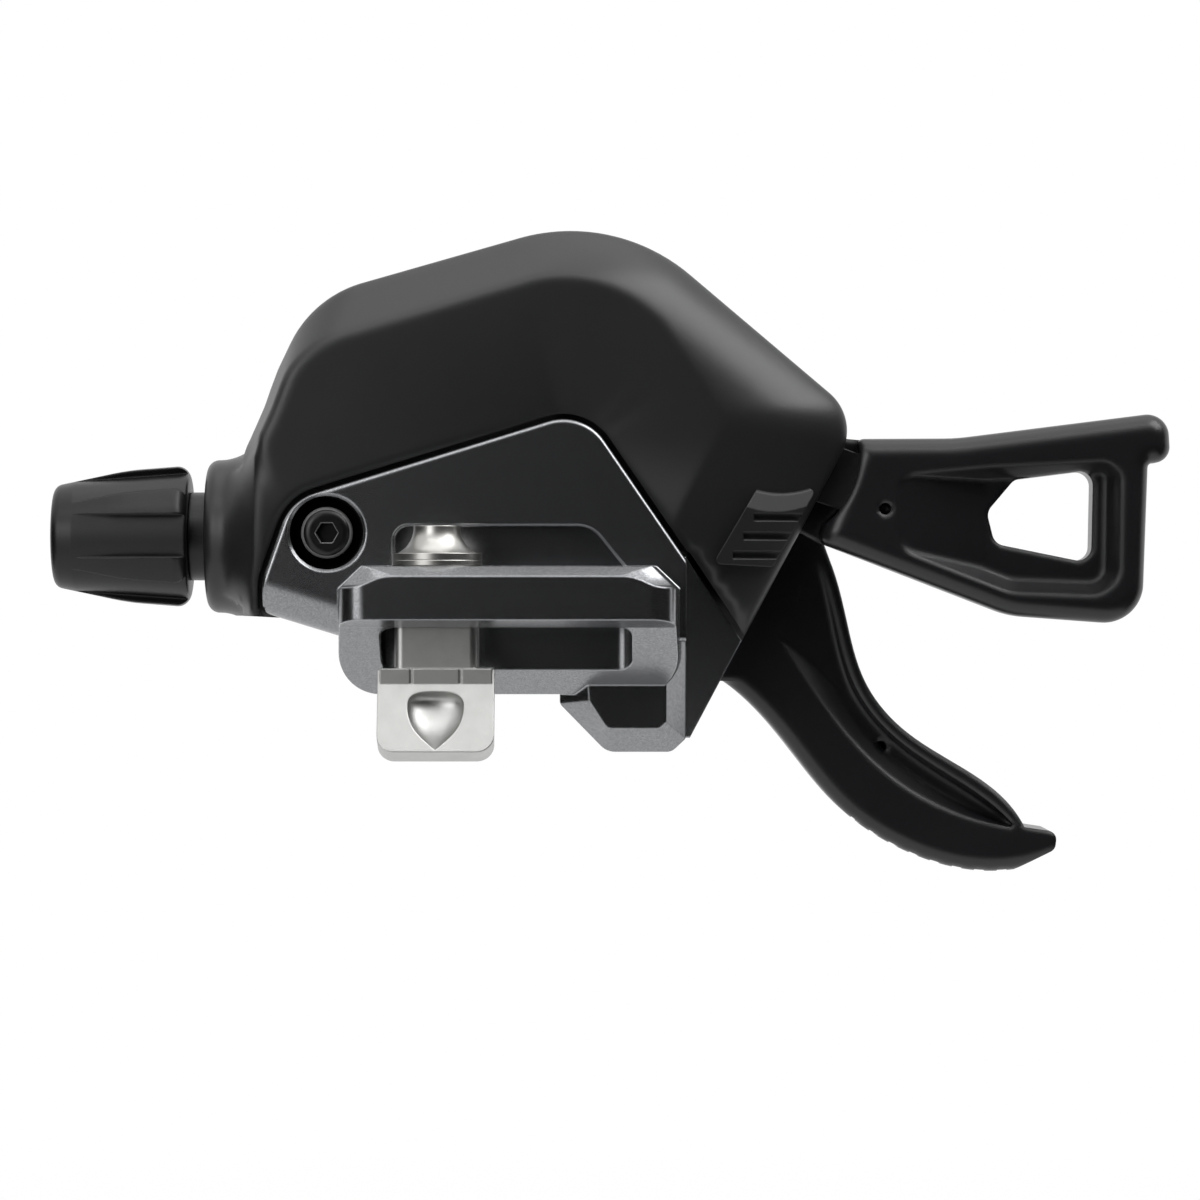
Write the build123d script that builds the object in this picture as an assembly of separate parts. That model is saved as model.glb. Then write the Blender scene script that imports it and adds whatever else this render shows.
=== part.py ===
from build123d import *
import math
import os

# Trigger gear shifter for a handlebar. Millimetres.
# X runs along the bar, towards the lever tips. Y runs back through the housing. Z is up.
# The origin is on the clamp bolt's axis, at the top face of the rail.

# Driving sizes: depth of the housing, and reach of the release lever from the clamp bolt's axis
HOUSING_DEPTH = 25.2
RELEASE_TIP_X = 73.75

# Main places, from the clamp bolt's axis
AXLE_X = 14.5
AXLE_Z = 17.05
RELEASE_X = 33.5
RELEASE_Z = 11.4

# Fits and gaps
RUNNING_GAP = 0.05
SIDE_GAP = 0.3
SEAM_GAP = 0.6

# Longer than the whole part, for cutting blocks
OVERSIZE = 160.0

# Depth stack from the bracket's face to the back of the housing
BRACKET_FACE_Y = 5.5
BRACKET_PLATE = 3.8
COVER_STEP = 2.0
COVER_FLOOR = 2.0
BASE_PLATE = 1.2
WHEEL_PLATE = 1.6
PAWL_PLATE = 1.2
LEVER_PLATE = 2.0
REAR_WALL = 2.0

# The drum and its springs share the depth that the plates leave
PLATES = BRACKET_PLATE + COVER_FLOOR + BASE_PLATE + 2 * WHEEL_PLATE + SIDE_GAP + LEVER_PLATE + REAR_WALL
DRUM_SHARE = 48 / 107
SPRING_SHARE = 25 / 107
DRUM_WIDTH = DRUM_SHARE * (HOUSING_DEPTH - PLATES)
SPRING_ROOM = SPRING_SHARE * (HOUSING_DEPTH - PLATES)
LEVER_SPRING_ROOM = HOUSING_DEPTH - PLATES - DRUM_WIDTH - SPRING_ROOM

BRACKET_BACK_Y = BRACKET_FACE_Y + BRACKET_PLATE
COVER_FACE_Y = BRACKET_FACE_Y + COVER_STEP
BASE_FRONT_Y = BRACKET_BACK_Y + COVER_FLOOR
BASE_BACK_Y = BASE_FRONT_Y + BASE_PLATE
INDEX_FRONT_Y = BASE_BACK_Y + SPRING_ROOM
INDEX_BACK_Y = INDEX_FRONT_Y + WHEEL_PLATE
DRUM_BACK_Y = INDEX_BACK_Y + DRUM_WIDTH
FEED_BACK_Y = DRUM_BACK_Y + WHEEL_PLATE
ARM_FRONT_Y = FEED_BACK_Y + SIDE_GAP
ARM_BACK_Y = ARM_FRONT_Y + LEVER_PLATE
REAR_INSIDE_Y = ARM_BACK_Y + LEVER_SPRING_ROOM
REAR_BACK_Y = REAR_INSIDE_Y + REAR_WALL
CABLE_Y = (INDEX_BACK_Y + DRUM_BACK_Y) / 2

# Cover
COVER_WALL = 1.8
COVER_SLOPE = 5.0
PARTING_STEP = 1.0
COVER_RIDGE = 0.7
COVER_FACE_ROUND = 1.0
COVER_RIM_ROUND = 1.2
REAR_EDGE_ROUND = 2.0
PARTING_Y = CABLE_Y + PARTING_STEP
COVER_RIDGE_Y = COVER_FACE_Y + COVER_RIDGE
COVER_EDGE_Y = COVER_FACE_Y + COVER_SLOPE

# Outlines are corners as (x, z, corner radius), seen from the front
COVER_RIM = [
    (-20.0, -4.9, 0.0),
    (-20.0, 12.5, 1.0),
    (-13.0, 27.3, 11.5),
    (17.5, 36.0, 18.7),
    (42.3, 15.0, 5.0),
    (30.4, -7.4, 0.0),
]
COVER_FACE = [
    (-18.7, -4.9, 0.0),
    (-18.7, 12.6, 1.0),
    (-14.1, 21.8, 9.3),
    (17.5, 31.3, 13.6),
    (28.8, 14.8, 2.0),
    (17.1, -7.4, 0.0),
]
COVER_RIDGE_LINE = [
    (-18.88, -4.9, 0.0),
    (-18.88, 12.6, 1.0),
    (-13.95, 22.6, 9.6),
    (17.5, 31.95, 14.3),
    (32.8, 14.8, 2.4),
    (21.1, -7.4, 0.0),
]
REAR_RIM = [
    (-10.4, -5.8, 1.0),
    (-10.4, 27.9, 6.0),
    (17.5, 36.0, 18.7),
    (40.0, 16.9, 9.0),
    (28.4, -7.2, 1.0),
]
BRACKET_RIM = [
    (-17.6, -4.6, 1.0),
    (-17.6, -1.3, 4.0),
    (-14.8, 6.6, 5.0),
    (14.4, 15.6, 5.0),
    (24.6, 0.7, 0.0),
    (24.6, -7.4, 0.0),
    (-10.1, -6.9, 1.0),
]

# Flank and foot of the bracket
PLATE_ROUND = 0.45
LOW_ROUND = 3.5
FLANK_DEPTH = 8.0
FOOT_BEVEL = 3.1
FLANK_RIM = [
    (24.0, 1.0),
    (24.6, 1.0),
    (30.3, -7.4),
    (25.1, -17.2),
    (24.0, -17.2),
]
FOOT_PANEL = [
    (14.6, -8.0, 0.0),
    (14.9, -13.3, 0.8),
    (16.7, -16.1, 1.0),
    (21.9, -16.1, 0.6),
    (22.6, -15.4, 0.4),
    (22.6, 1.0, 0.0),
    (14.6, 1.0, 0.0),
]
FOOT_RIM = [
    (12.0, -8.0, 0.0),
    (12.0, -13.7, 0.8),
    (16.7, -18.5, 2.0),
    (23.2, -18.5, 1.2),
    (24.6, -17.2, 0.4),
    (24.6, 1.0, 0.0),
    (12.0, 1.0, 0.0),
]
FLANK_BACK_Y = BRACKET_FACE_Y + FLANK_DEPTH

# Rail with its slot for the clamp
RAIL_FRONT = 6.2
RAIL_LEFT = -10.2
RAIL_RIGHT = 24.2
RAIL_TOP_CUT = 2.2
RAIL_LIP = 5.25
RAIL_KNEE = 6.0
RAIL_DROP = 12.7
RAIL_CORNER = 4.2
RAIL_TOE_Y = 6.9
RAIL_DRAFT = 0.8
RAIL_BEVEL = 1.6
RAIL_BEVEL_DROP = 1.0
RAIL_NOSE_IN = 0.3
RAIL_NOSE_CUT = 5.2
RAIL_FRONT_ROUND = 2.6
RAIL_CUT = 2.3
SLOT_LEFT = -5.5
SLOT_RIGHT = 19.2
SLOT_WIDTH = 6.4
SLOT_ROUND = 1.4
POCKET_TOP = 4.2
POCKET_LEFT = -4.6
POCKET_RIGHT = 18.6
POCKET_DEPTH = 2.2
POCKET_LEAN = 3.4
POCKET_ROUND = 3.0

# Bracket screw
SCREW_X = -11.2
SCREW_Z = 3.4
SCREW_HEAD_R = 2.6
SCREW_HEAD = 1.6
SCREW_HEAD_ROUND = 0.95
SCREW_KEY = 1.05
SCREW_R = 1.5
SCREW_HEX = 2.0
SCREW_SEAT_R = 3.6
SCREW_SEAT = 1.9
SCREW_SEAT_BEVEL = 0.35
SCREW_LENGTH = 5.4

# Clamp boss, washer and nut
CLAMP_FLANGE_R = 4.45
CLAMP_FLANGE = 0.7
CLAMP_WASHER = 0.6
CLAMP_CONE_R = 3.9
CLAMP_TOP_R = 2.3
CLAMP_CONE = 2.7
CLAMP_HOLLOW = 0.35
CLAMP_TAP_R = 1.65
CLAMP_SHANK = 8.2
CLAMP_SHANK_DEPTH = 5.6
CLAMP_SHANK_ROUND = 0.8
CLAMP_PLATE_WIDTH = 11.0
CLAMP_PLATE_TOP = -10.0
CLAMP_PLATE = 1.5
CLAMP_PLATE_LAP = 0.8
CLAMP_NOTCH = 0.3
CLAMP_NOTCH_X = 2.4
CLAMP_TAB_WIDTH = 11.4
CLAMP_TAB = 2.6
CLAMP_TAB_DROP = 7.1
CLAMP_TAB_LEAN = 22.0
CLAMP_TAB_ROUND = 1.7
CLAMP_GROOVE_TOP = 0.8
CLAMP_GROOVE_R = 2.75
CLAMP_GROOVE_RISE = 1.5
CLAMP_GROOVE_TAIL = 4.6
CLAMP_GROOVE_DEPTH = 1.5
CLAMP_SPIGOT_R = 2.6
CLAMP_SPIGOT = 3.0

# Cable adjuster
DRUM_CABLE_R = 13.85
CABLE_Z = AXLE_Z - DRUM_CABLE_R
COLLAR_X = -24.0
COLLAR_R = 7.8
COLLAR_EDGE = 1.2
COLLAR_FLARE = 4.2
COLLAR_RUN = 1.3
BARREL_BACK_X = -25.8
BARREL_LENGTH = 13.9
BARREL_R = 7.25
BARREL_NOSE_R = 5.15
BARREL_NOSE_ROUND = 1.0
BARREL_WAIST = 7.5
BARREL_WAIST_R = 6.75
BARREL_BEND = 24.0
BARREL_EDGE = 1.3
BARREL_FLUTES = 6
FLUTE_START = 2.0
FLUTE_START_R = 5.6
FLUTE_END_R = 6.5
FLUTE_WIDTH = 4.4
SLEEVE_R = 4.5
SLEEVE_LENGTH = 8.4
BOLT_R = 3.5
BOLT_INSET = 0.3
BOLT_REACH = 12.9
FERRULE_R = 2.6
FERRULE_DEPTH = 8.5
CABLE_BORE_R = 1.2
BOSS_FLOOR_X = -14.0
ADJUSTER_WIRE = 0.5
ADJUSTER_TURNS = 3
ADJUSTER_PLAY = 1.0

# Wheels and drum
TOOTH_PITCH = 15.3
SHIFTS = 10
INDEX_R = 10.4
INDEX_ROOT_R = 9.0
FEED_R = 11.4
FEED_ROOT_R = 9.8
DRUM_R = 14.4
DRUM_GROOVE_R = 13.2
DRUM_GROOVE = 1.5
HUB_R = 5.0
BUSH_WALL = 1.0
AXLE_R = 3.0
AXLE_THREAD_R = 2.5
AXLE_FLANGE_R = 5.2
NUT_FLATS = 8.0
NUT_HEIGHT = 2.6
WASHER_R = 5.0
WASHER = 0.8
NIPPLE_R = 2.1
NIPPLE_IN = 2.2
NIPPLE_ANGLE = 200.0
DRUM_SPRING_TURNS = 4
DRUM_SPRING_PITCH = 1.0
DRUM_SPRING_STRIP = 0.35
DRUM_SPRING_CLEAR = 0.1

# Main lever
LEVER_STROKE = 30.6
LEVER_HUB_R = 6.2
LEVER_ARM_ANGLE = -48.8
LEVER_ARM_WIDTH = 10.0
LEVER_ARM_REACH = 32.0
LEVER_SPRING_WIRE = 4 / 17
LEVER_SPRING_TURNS = 2
BLADE_STEP = 0.4
BLADE_DEPTH = 11.2
BLADE_FRONT_DISH = 1.7
BLADE_REAR_DISH = 5.4
BLADE_HOLE_R = 0.6
BLADE_HOLE = 1.5
BLADE_HOLE_X = 44.9
BLADE_HOLE_Z = -18.4
BLADE_RIM_ROUND = 0.35
BLADE_RIM_IN = 0.14
BLADE_RIDGE_IN = 0.5
BLADE_RUN_OUT = 9.0
BLADE_PAD_ROUND = 1.6
BLADE_TIP_ROUND = 0.9
GRIP_TEETH = 8
GRIP_GROOVE_R = 0.55
GRIP_MARGIN = 1.0
BLADE_FRONT_Y = PARTING_Y + BLADE_STEP

# Front view of the blade as (x, z): outer edge, tip, pad and root, then the hollow's rim and ridge
BLADE_UPPER = [(39.6, 0.8), (41.3, -5.2), (43.3, -11.8), (47.2, -16.6), (57.4, -23.6), (59.6, -26.6)]
BLADE_TIP = [(59.6, -26.6), (62.9, -27.1), (62.7, -28.9), (58.5, -31.0)]
BLADE_PAD = [(58.5, -31.0), (53.8, -31.0), (47.2, -29.0), (40.6, -24.6), (34.9, -17.8), (28.6, -11.6)]
BLADE_ROOT = [(28.6, -11.6), (27.1, -11.6), (37.2, 7.4), (39.6, 0.8)]
BLADE_RIM = [(38.3, 0.6), (40.2, -5.6), (42.3, -12.3), (46.5, -17.5), (56.6, -24.5), (58.4, -26.3)]
BLADE_RIDGE = [(58.1, -26.6), (53.0, -25.4), (47.2, -22.6), (42.0, -18.0), (36.7, -11.0), (34.0, -7.0)]

# Pawls
FEED_PIVOT_R = 15.0
FEED_PIVOT_ANGLE = -40.0
FEED_TOOTH_ANGLE = -12.0
FEED_LIFT = 14.0
HOLD_TOOTH_ANGLE = -30.0
HOLD_ARM = 8.2
PAWL_HUB_R = 2.3
PAWL_BAR = 2.0
PAWL_STANDOFF = 0.7
PAWL_PIN_R = 1.1
PAWL_PIN_HEAD_R = 2.0
PAWL_SPRING_WIRE = 0.35
PAWL_SPRING_TURNS = 2
PAWL_SPRING_ROOM = 1.4
TOOTH_HALF = 0.5
TOOTH_ROOT_HALF = 0.65
NOTCH_HALF = 0.765
NOTCH_MOUTH_HALF = 0.98
TOOTH_GAP = 0.25
TAIL_LENGTH = 9.2
FINGER_LENGTH = 7.2
TAIL_BAR = 1.5
TAIL_GAP = 0.35

# Release lever
RELEASE_HUB_R = 3.6
RELEASE_PIN_R = 1.6
RELEASE_BUSH_WALL = 0.7
RELEASE_SHOULDER_R = 2.2
RELEASE_ARM_ANGLE = -19.0
RELEASE_ARM_WIDTH = 6.0
RELEASE_ARM_REACH = 15.0
RELEASE_STEP_R = 8.8
RELEASE_STEP = 3.0
RELEASE_DEPTH = 6.6
RELEASE_DISH = 2.3
RELEASE_ROUND = 1.9
RELEASE_DISH_LEFT = 46.0
RELEASE_DISH_RUN = 9.0
RELEASE_DISH_TAPER = 30.0
RELEASE_HOLE_R = 0.6
RELEASE_HOLE = 1.5
RELEASE_HOLE_X = 44.8
RELEASE_HOLE_Z = 5.9
RELEASE_FRONT_Y = INDEX_FRONT_Y - RELEASE_STEP
RELEASE_RIM = [
    (42.2, 13.0, 0.8),
    (52.0, 13.05, 20.0),
    (RELEASE_TIP_X - 0.3, 15.75, 2.2),
    (RELEASE_TIP_X, 10.75, 1.6),
    (RELEASE_TIP_X - 2.3, 10.5, 0.5),
    (RELEASE_TIP_X - 2.9, -5.9, 4.0),
    (57.4, -4.9, 10.0),
    (38.0, 2.6, 1.0),
]
RELEASE_DISH_RIM = [
    (45.6, 9.3, 2.4),
    (55.0, 10.2, 6.0),
    (RELEASE_TIP_X - 5.1, 10.9, 2.0),
    (RELEASE_TIP_X - 5.3, -3.0, 3.0),
    (57.4, -2.6, 6.0),
    (46.4, 1.7, 2.4),
]
RELEASE_TONGUE = [
    (43.0, 12.9, 0.8),
    (37.6, 13.4, 1.0),
    (34.8, 4.4, 1.0),
    (38.6, 2.3, 0.8),
    (46.0, 3.0, 0.0),
]
RELEASE_WINDOW = [
    (55.2, 5.6, 1.4),
    (58.0, 8.9, 1.4),
    (RELEASE_TIP_X - 7.75, 9.9, 1.4),
    (RELEASE_TIP_X - 7.95, 0.4, 1.4),
    (56.0, 2.4, 1.4),
]

# Cover screws and cable port
COVER_SCREWS = [(-7.5, 21.0), (12.5, -2.2)]
COVER_SCREW_R = 1.1
COVER_SCREW_HEAD_R = 2.0
COVER_SCREW_HEAD = 1.2
COVER_POST_R = 2.1
COVER_POST_DEPTH = 5.0
PORT_PAD = 0.9
PORT_PLUG_R = 1.8
PORT_BEVEL = 1.2
PORT_BEVEL_DEPTH = 0.6
PORT_ROWS = 3
PORT_ROW_TOP = 5.0
PORT_ROW_PITCH = 1.9
PORT_ROW_X = 33.9
PORT_ROW_LEAN = 0.56
PORT_ROW_LENGTH = 4.9
PORT_GROOVE = 0.75
PORT_RIM = [
    (31.9, 8.1, 0.5),
    (37.9, 7.9, 0.5),
    (33.4, 0.0, 0.5),
    (27.3, 0.3, 0.5),
]
BASE_RIM = [
    (-14.2, 0.4, 1.5),
    (-14.2, 7.4, 2.0),
    (0.0, 22.0, 6.0),
    (13.0, 29.0, 8.0),
    (28.0, 22.5, 6.0),
    (36.3, 13.7, 2.4),
    (35.0, 8.3, 2.4),
    (22.6, 2.4, 3.0),
]
MOUTH = [(35.5, 17.6), (60.0, 17.6), (60.0, -14.0), (20.0, -14.0), (20.0, -4.2)]
REAR_MOUTH = [(32.0, 25.0), (60.0, 25.0), (60.0, -14.0), (16.5, -14.0), (16.5, -4.0)]


def outline(corners):
    """A face with the given corners, each with its own radius."""
    points = [(x, z) for x, z, _ in corners]
    radii = [r for _, _, r in corners]
    return make_face(FilletPolyline(*points, radius=radii, close=True))


def polygon(points):
    """A face with sharp corners."""
    return make_face(Polyline(*points, close=True))


def front_plane(y):
    """Drawing plane at depth y, with X to the right and Z up."""
    return Plane((0, y, 0), x_dir=(1, 0, 0), z_dir=(0, -1, 0))


def slab(face, front, back):
    """Solid with the given front view, between two depths."""
    return extrude(front_plane(back) * face, amount=back - front)


def rod(x, z, radius, front, back):
    """Round bar along Y."""
    return slab(Pos(x, z) * Circle(radius), front, back)


def cable_rod(radius, left, right):
    """Round bar along X, on the cable's line."""
    start = Plane((left, CABLE_Y, CABLE_Z), x_dir=(0, 1, 0), z_dir=(1, 0, 0))
    return extrude(start * Circle(radius), amount=right - left)


def cable_turned(corners):
    """Turned piece on the cable's line, from a profile of (x, radius, corner radius)."""
    lathe = Plane((0, CABLE_Y, CABLE_Z), x_dir=(1, 0, 0), z_dir=(0, -1, 0))
    return revolve(lathe * outline(corners), axis=Axis((0, CABLE_Y, CABLE_Z), (1, 0, 0)))


def about_axle(radius, angle):
    """Point at a radius and an angle from the main axle."""
    turn = math.radians(angle)
    return (AXLE_X + radius * math.cos(turn), AXLE_Z + radius * math.sin(turn))


def bar(start, end, width):
    """Front view of a straight bar with round ends."""
    run = Vector(end[0] - start[0], end[1] - start[1])
    middle = Pos((start[0] + end[0]) / 2, (start[1] + end[1]) / 2)
    angle = math.degrees(math.atan2(run.Y, run.X))
    return middle * Rot(0, 0, angle) * SlotCenterToCenter(run.length, width)


def coil(radius, wire, pitch, turns):
    """Wound wire spring about Z, from the origin up."""
    path = Helix(pitch=pitch, height=pitch * turns, radius=radius)
    section = Plane(path @ 0, z_dir=path % 0) * Circle(wire / 2)
    return sweep(section, path=path)


def beyond(plane):
    """Block of everything on the outer side of a plane."""
    return plane * (Pos(0, 0, OVERSIZE / 2) * Box(OVERSIZE, OVERSIZE, OVERSIZE))


def edges_by(body, places):
    """The edges that pass nearest to the given places."""
    return [body.edges().sort_by_distance(place)[0] for place in places]


# Cover


def cover_cavity(wall):
    """Front view of the room inside the cover."""
    room = offset(outline(COVER_RIM), amount=-wall)
    left = REAR_RIM[0][0] - SIDE_GAP
    return room & Pos(left + OVERSIZE / 2, 0) * Rectangle(OVERSIZE, OVERSIZE)


def cover_outside():
    """Outside of the front cover: flat face, soft ridge, slanted facets and straight rim."""
    face = front_plane(COVER_FACE_Y) * outline(COVER_FACE)
    ridge = front_plane(COVER_RIDGE_Y) * outline(COVER_RIDGE_LINE)
    rim = front_plane(COVER_EDGE_Y) * outline(COVER_RIM)
    body = loft([face, ridge, rim]) + slab(outline(COVER_RIM), COVER_EDGE_Y, PARTING_Y)
    for depth, radius in ((COVER_FACE_Y, COVER_FACE_ROUND), (COVER_EDGE_Y, COVER_RIM_ROUND)):
        edges = body.edges().filter_by_position(Axis.Y, depth, depth)
        body = fillet([edge for edge in edges if edge.center().Z > COVER_RIM[0][1]], radius)
    return body


def raised(view, height):
    """Patch that stands proud of the slanted facet, with the given front view."""
    outside = cover_outside()
    lift = facet_plane().z_dir * height
    return (slab(view, BRACKET_FACE_Y, PARTING_Y) & Pos(lift) * outside) - outside


def collar():
    """Round collar for the cable adjuster, flared into the cover's end wall."""
    wall = COLLAR_X + COLLAR_RUN + COLLAR_FLARE
    split = REAR_RIM[0][0] - SIDE_GAP
    flare = COLLAR_R + COLLAR_FLARE
    turned = cable_turned([
        (COLLAR_X, 0, 0),
        (COLLAR_X, COLLAR_R, COLLAR_EDGE),
        (wall, COLLAR_R, COLLAR_FLARE),
        (wall, flare, 0),
        (split, flare, 0),
        (split, 0, 0),
    ])
    low = COVER_RIM[0][1]
    high = CABLE_Z + flare
    room = polygon([(COLLAR_X, low), (split, low), (split, high), (COLLAR_X, high)])
    return turned & slab(room, COVER_FACE_Y + COVER_FACE_ROUND, CABLE_Y + COLLAR_R)


def upper_cover():
    """Front half of the housing, with the collar for the cable adjuster."""
    body = cover_outside()
    split = REAR_RIM[0][0] - SIDE_GAP
    block = slab(outline(COVER_RIM), PARTING_Y, CABLE_Y + COLLAR_R)
    body += block - beyond(Plane((split, 0, 0), z_dir=(1, 0, 0)))
    body += collar()
    body -= slab(offset(outline(BRACKET_RIM), amount=SEAM_GAP), BRACKET_FACE_Y, BRACKET_BACK_Y)
    body -= slab(offset(polygon(FLANK_RIM), amount=SEAM_GAP), BRACKET_FACE_Y, FLANK_BACK_Y + SEAM_GAP)
    body -= slab(offset(outline(BASE_RIM), amount=SIDE_GAP), BASE_FRONT_Y, COVER_EDGE_Y + COVER_WALL)
    body -= slab(cover_cavity(COVER_WALL), COVER_EDGE_Y + COVER_WALL, PARTING_Y)
    body -= slab(polygon(MOUTH), COVER_EDGE_Y + COVER_WALL, PARTING_Y)
    for x, z in COVER_SCREWS:
        body += rod(x, z, COVER_POST_R, COVER_EDGE_Y, PARTING_Y)
        body -= rod(x, z, COVER_SCREW_R, PARTING_Y - COVER_POST_DEPTH, PARTING_Y)
    body -= cable_rod(SLEEVE_R + RUNNING_GAP, COLLAR_X, BOSS_FLOOR_X)
    body -= cable_rod(BOLT_R + RUNNING_GAP, BOSS_FLOOR_X, split)
    body -= rod(SCREW_X, SCREW_Z, SCREW_R, BRACKET_FACE_Y, BASE_BACK_Y)
    port_x, port_z = port_centre()
    return body - rod(port_x, port_z, PORT_PLUG_R, COVER_FACE_Y, COVER_EDGE_Y + COVER_WALL)


def rear_cover():
    """Back half of the housing."""
    body = slab(outline(REAR_RIM), PARTING_Y, REAR_BACK_Y)
    back_edges = body.faces().sort_by(Axis.Y)[-1].edges()
    body = fillet(back_edges, REAR_EDGE_ROUND)
    body -= slab(offset(outline(REAR_RIM), amount=-COVER_WALL), PARTING_Y, REAR_INSIDE_Y)
    body -= slab(polygon(REAR_MOUTH), PARTING_Y, REAR_INSIDE_Y)
    seat = REAR_BACK_Y - COVER_SCREW_HEAD
    for x, z in COVER_SCREWS:
        body += rod(x, z, COVER_SCREW_HEAD_R + COVER_WALL / 2, PARTING_Y, REAR_INSIDE_Y)
        body -= rod(x, z, COVER_SCREW_R, PARTING_Y, REAR_BACK_Y)
        body -= rod(x, z, COVER_SCREW_HEAD_R + RUNNING_GAP, seat, REAR_BACK_Y)
    body -= rod(AXLE_X, AXLE_Z, AXLE_THREAD_R + RUNNING_GAP, REAR_INSIDE_Y, REAR_BACK_Y)
    return body


def cover_screws():
    """The screws that hold the two halves together."""
    screws = []
    for x, z in COVER_SCREWS:
        seat = REAR_BACK_Y - COVER_SCREW_HEAD
        head = rod(x, z, COVER_SCREW_HEAD_R, seat, REAR_BACK_Y)
        head -= slab(Pos(x, z) * RegularPolygon(COVER_SCREW_R, 6), seat + COVER_SCREW_HEAD / 2, REAR_BACK_Y)
        screws.append(head + rod(x, z, COVER_SCREW_R, PARTING_Y - COVER_POST_DEPTH, seat))
    return Compound(children=screws)


def port_centre():
    """Middle of the cable port."""
    corners = [(x, z) for x, z, _ in PORT_RIM]
    return (sum(x for x, _ in corners) / 4, sum(z for _, z in corners) / 4)


def facet_plane():
    """Plane of the slanted facet at the cover's lever end."""
    ridge_top = Vector(COVER_RIDGE_LINE[4][0], COVER_RIDGE_Y, COVER_RIDGE_LINE[4][1])
    ridge_foot = Vector(COVER_RIDGE_LINE[5][0], COVER_RIDGE_Y, COVER_RIDGE_LINE[5][1])
    edge_top = Vector(COVER_RIM[4][0], COVER_EDGE_Y, COVER_RIM[4][1])
    down = ridge_foot - ridge_top
    outward = (edge_top - ridge_top).cross(down)
    if outward.Y > 0:
        outward = outward * -1
    return Plane(origin=ridge_top, x_dir=down, z_dir=outward)


def port_bevel():
    """Everything outside the slanted top edge of the port's cap."""
    facet = facet_plane()
    outward = facet.z_dir
    up = outward.cross(Vector(0, 0, 1)).cross(outward).normalized()
    x, z, _ = PORT_RIM[0]
    run = facet.origin - Vector(x, 0, z)
    edge = Vector(x, run.dot(outward) / outward.Y, z) + outward * PORT_PAD
    lean = math.atan2(PORT_BEVEL_DEPTH, PORT_BEVEL)
    slant = outward * math.cos(lean) + up * math.sin(lean)
    return beyond(Plane(origin=edge - up * PORT_BEVEL, z_dir=slant))


def cable_port_cover():
    """Ribbed cap over the hole where the inner cable goes in."""
    body = raised(outline(PORT_RIM), PORT_PAD) - port_bevel()
    floor = raised(outline(PORT_RIM), PORT_PAD / 2)
    for row in range(PORT_ROWS):
        fall = row * PORT_ROW_PITCH
        groove = Pos(PORT_ROW_X - PORT_ROW_LEAN * fall, COVER_FACE_Y, PORT_ROW_TOP - fall)
        body -= groove * Box(PORT_ROW_LENGTH, OVERSIZE, PORT_GROOVE) - floor
    port_x, port_z = port_centre()
    plug = rod(port_x, port_z, PORT_PLUG_R - RUNNING_GAP, COVER_FACE_Y, COVER_EDGE_Y)
    return body + (plug & cover_outside())


# Bracket


def foot():
    """Bevelled foot under the lever end of the rail."""
    panel = front_plane(BRACKET_FACE_Y) * outline(FOOT_PANEL)
    rim = front_plane(BRACKET_FACE_Y + FOOT_BEVEL) * outline(FOOT_RIM)
    low = FOOT_RIM[0][1]
    under = slab(outline(FOOT_RIM), BRACKET_FACE_Y + FOOT_BEVEL, FLANK_BACK_Y)
    under -= beyond(Plane((0, 0, low), z_dir=(0, 0, 1)))
    web = slab(outline(FOOT_RIM), BRACKET_FACE_Y + FOOT_BEVEL, BRACKET_BACK_Y)
    return loft([panel, rim], ruled=True) + under + web


def flank():
    """Wedge beside the foot that carries on the cover's slanted facet."""
    return slab(polygon(FLANK_RIM), BRACKET_FACE_Y, FLANK_BACK_Y) - beyond(facet_plane())


def rail_section():
    """Rail seen along X: flat top, low front lip and slanted underside, as (y, z)."""
    return [
        (-RAIL_FRONT, 0),
        (BRACKET_BACK_Y, 0),
        (BRACKET_BACK_Y, -RAIL_DROP),
        (RAIL_TOE_Y, -RAIL_DROP),
        (-SLOT_WIDTH / 2, -RAIL_KNEE),
        (-RAIL_FRONT, -RAIL_LIP),
    ]


def rail_end(foot, top, wavy):
    """End of the rail's top edge, straight or in a wave."""
    middle = (foot[0] + top.X) / 2
    if wavy:
        return Bezier(foot, (middle, foot[1]), (middle, top.Y), top)
    return Line(foot, top)


def rail_view(side, top, cut, wavy):
    """Front view of the rail, drawn in by a side and a top margin."""
    left = RAIL_LEFT + side
    right = RAIL_RIGHT - side
    high = -RAIL_TOP_CUT
    low = -RAIL_DROP
    crest = Line((left + cut, -top), (right - cut, -top))
    sides = FilletPolyline((left, high), (left, low), (right, low), (right, high), radius=RAIL_CORNER)
    left_end = rail_end((left, high), crest @ 0, wavy)
    right_end = rail_end((right, high), crest @ 1, wavy)
    return make_face(sides + left_end + right_end + crest)


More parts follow.
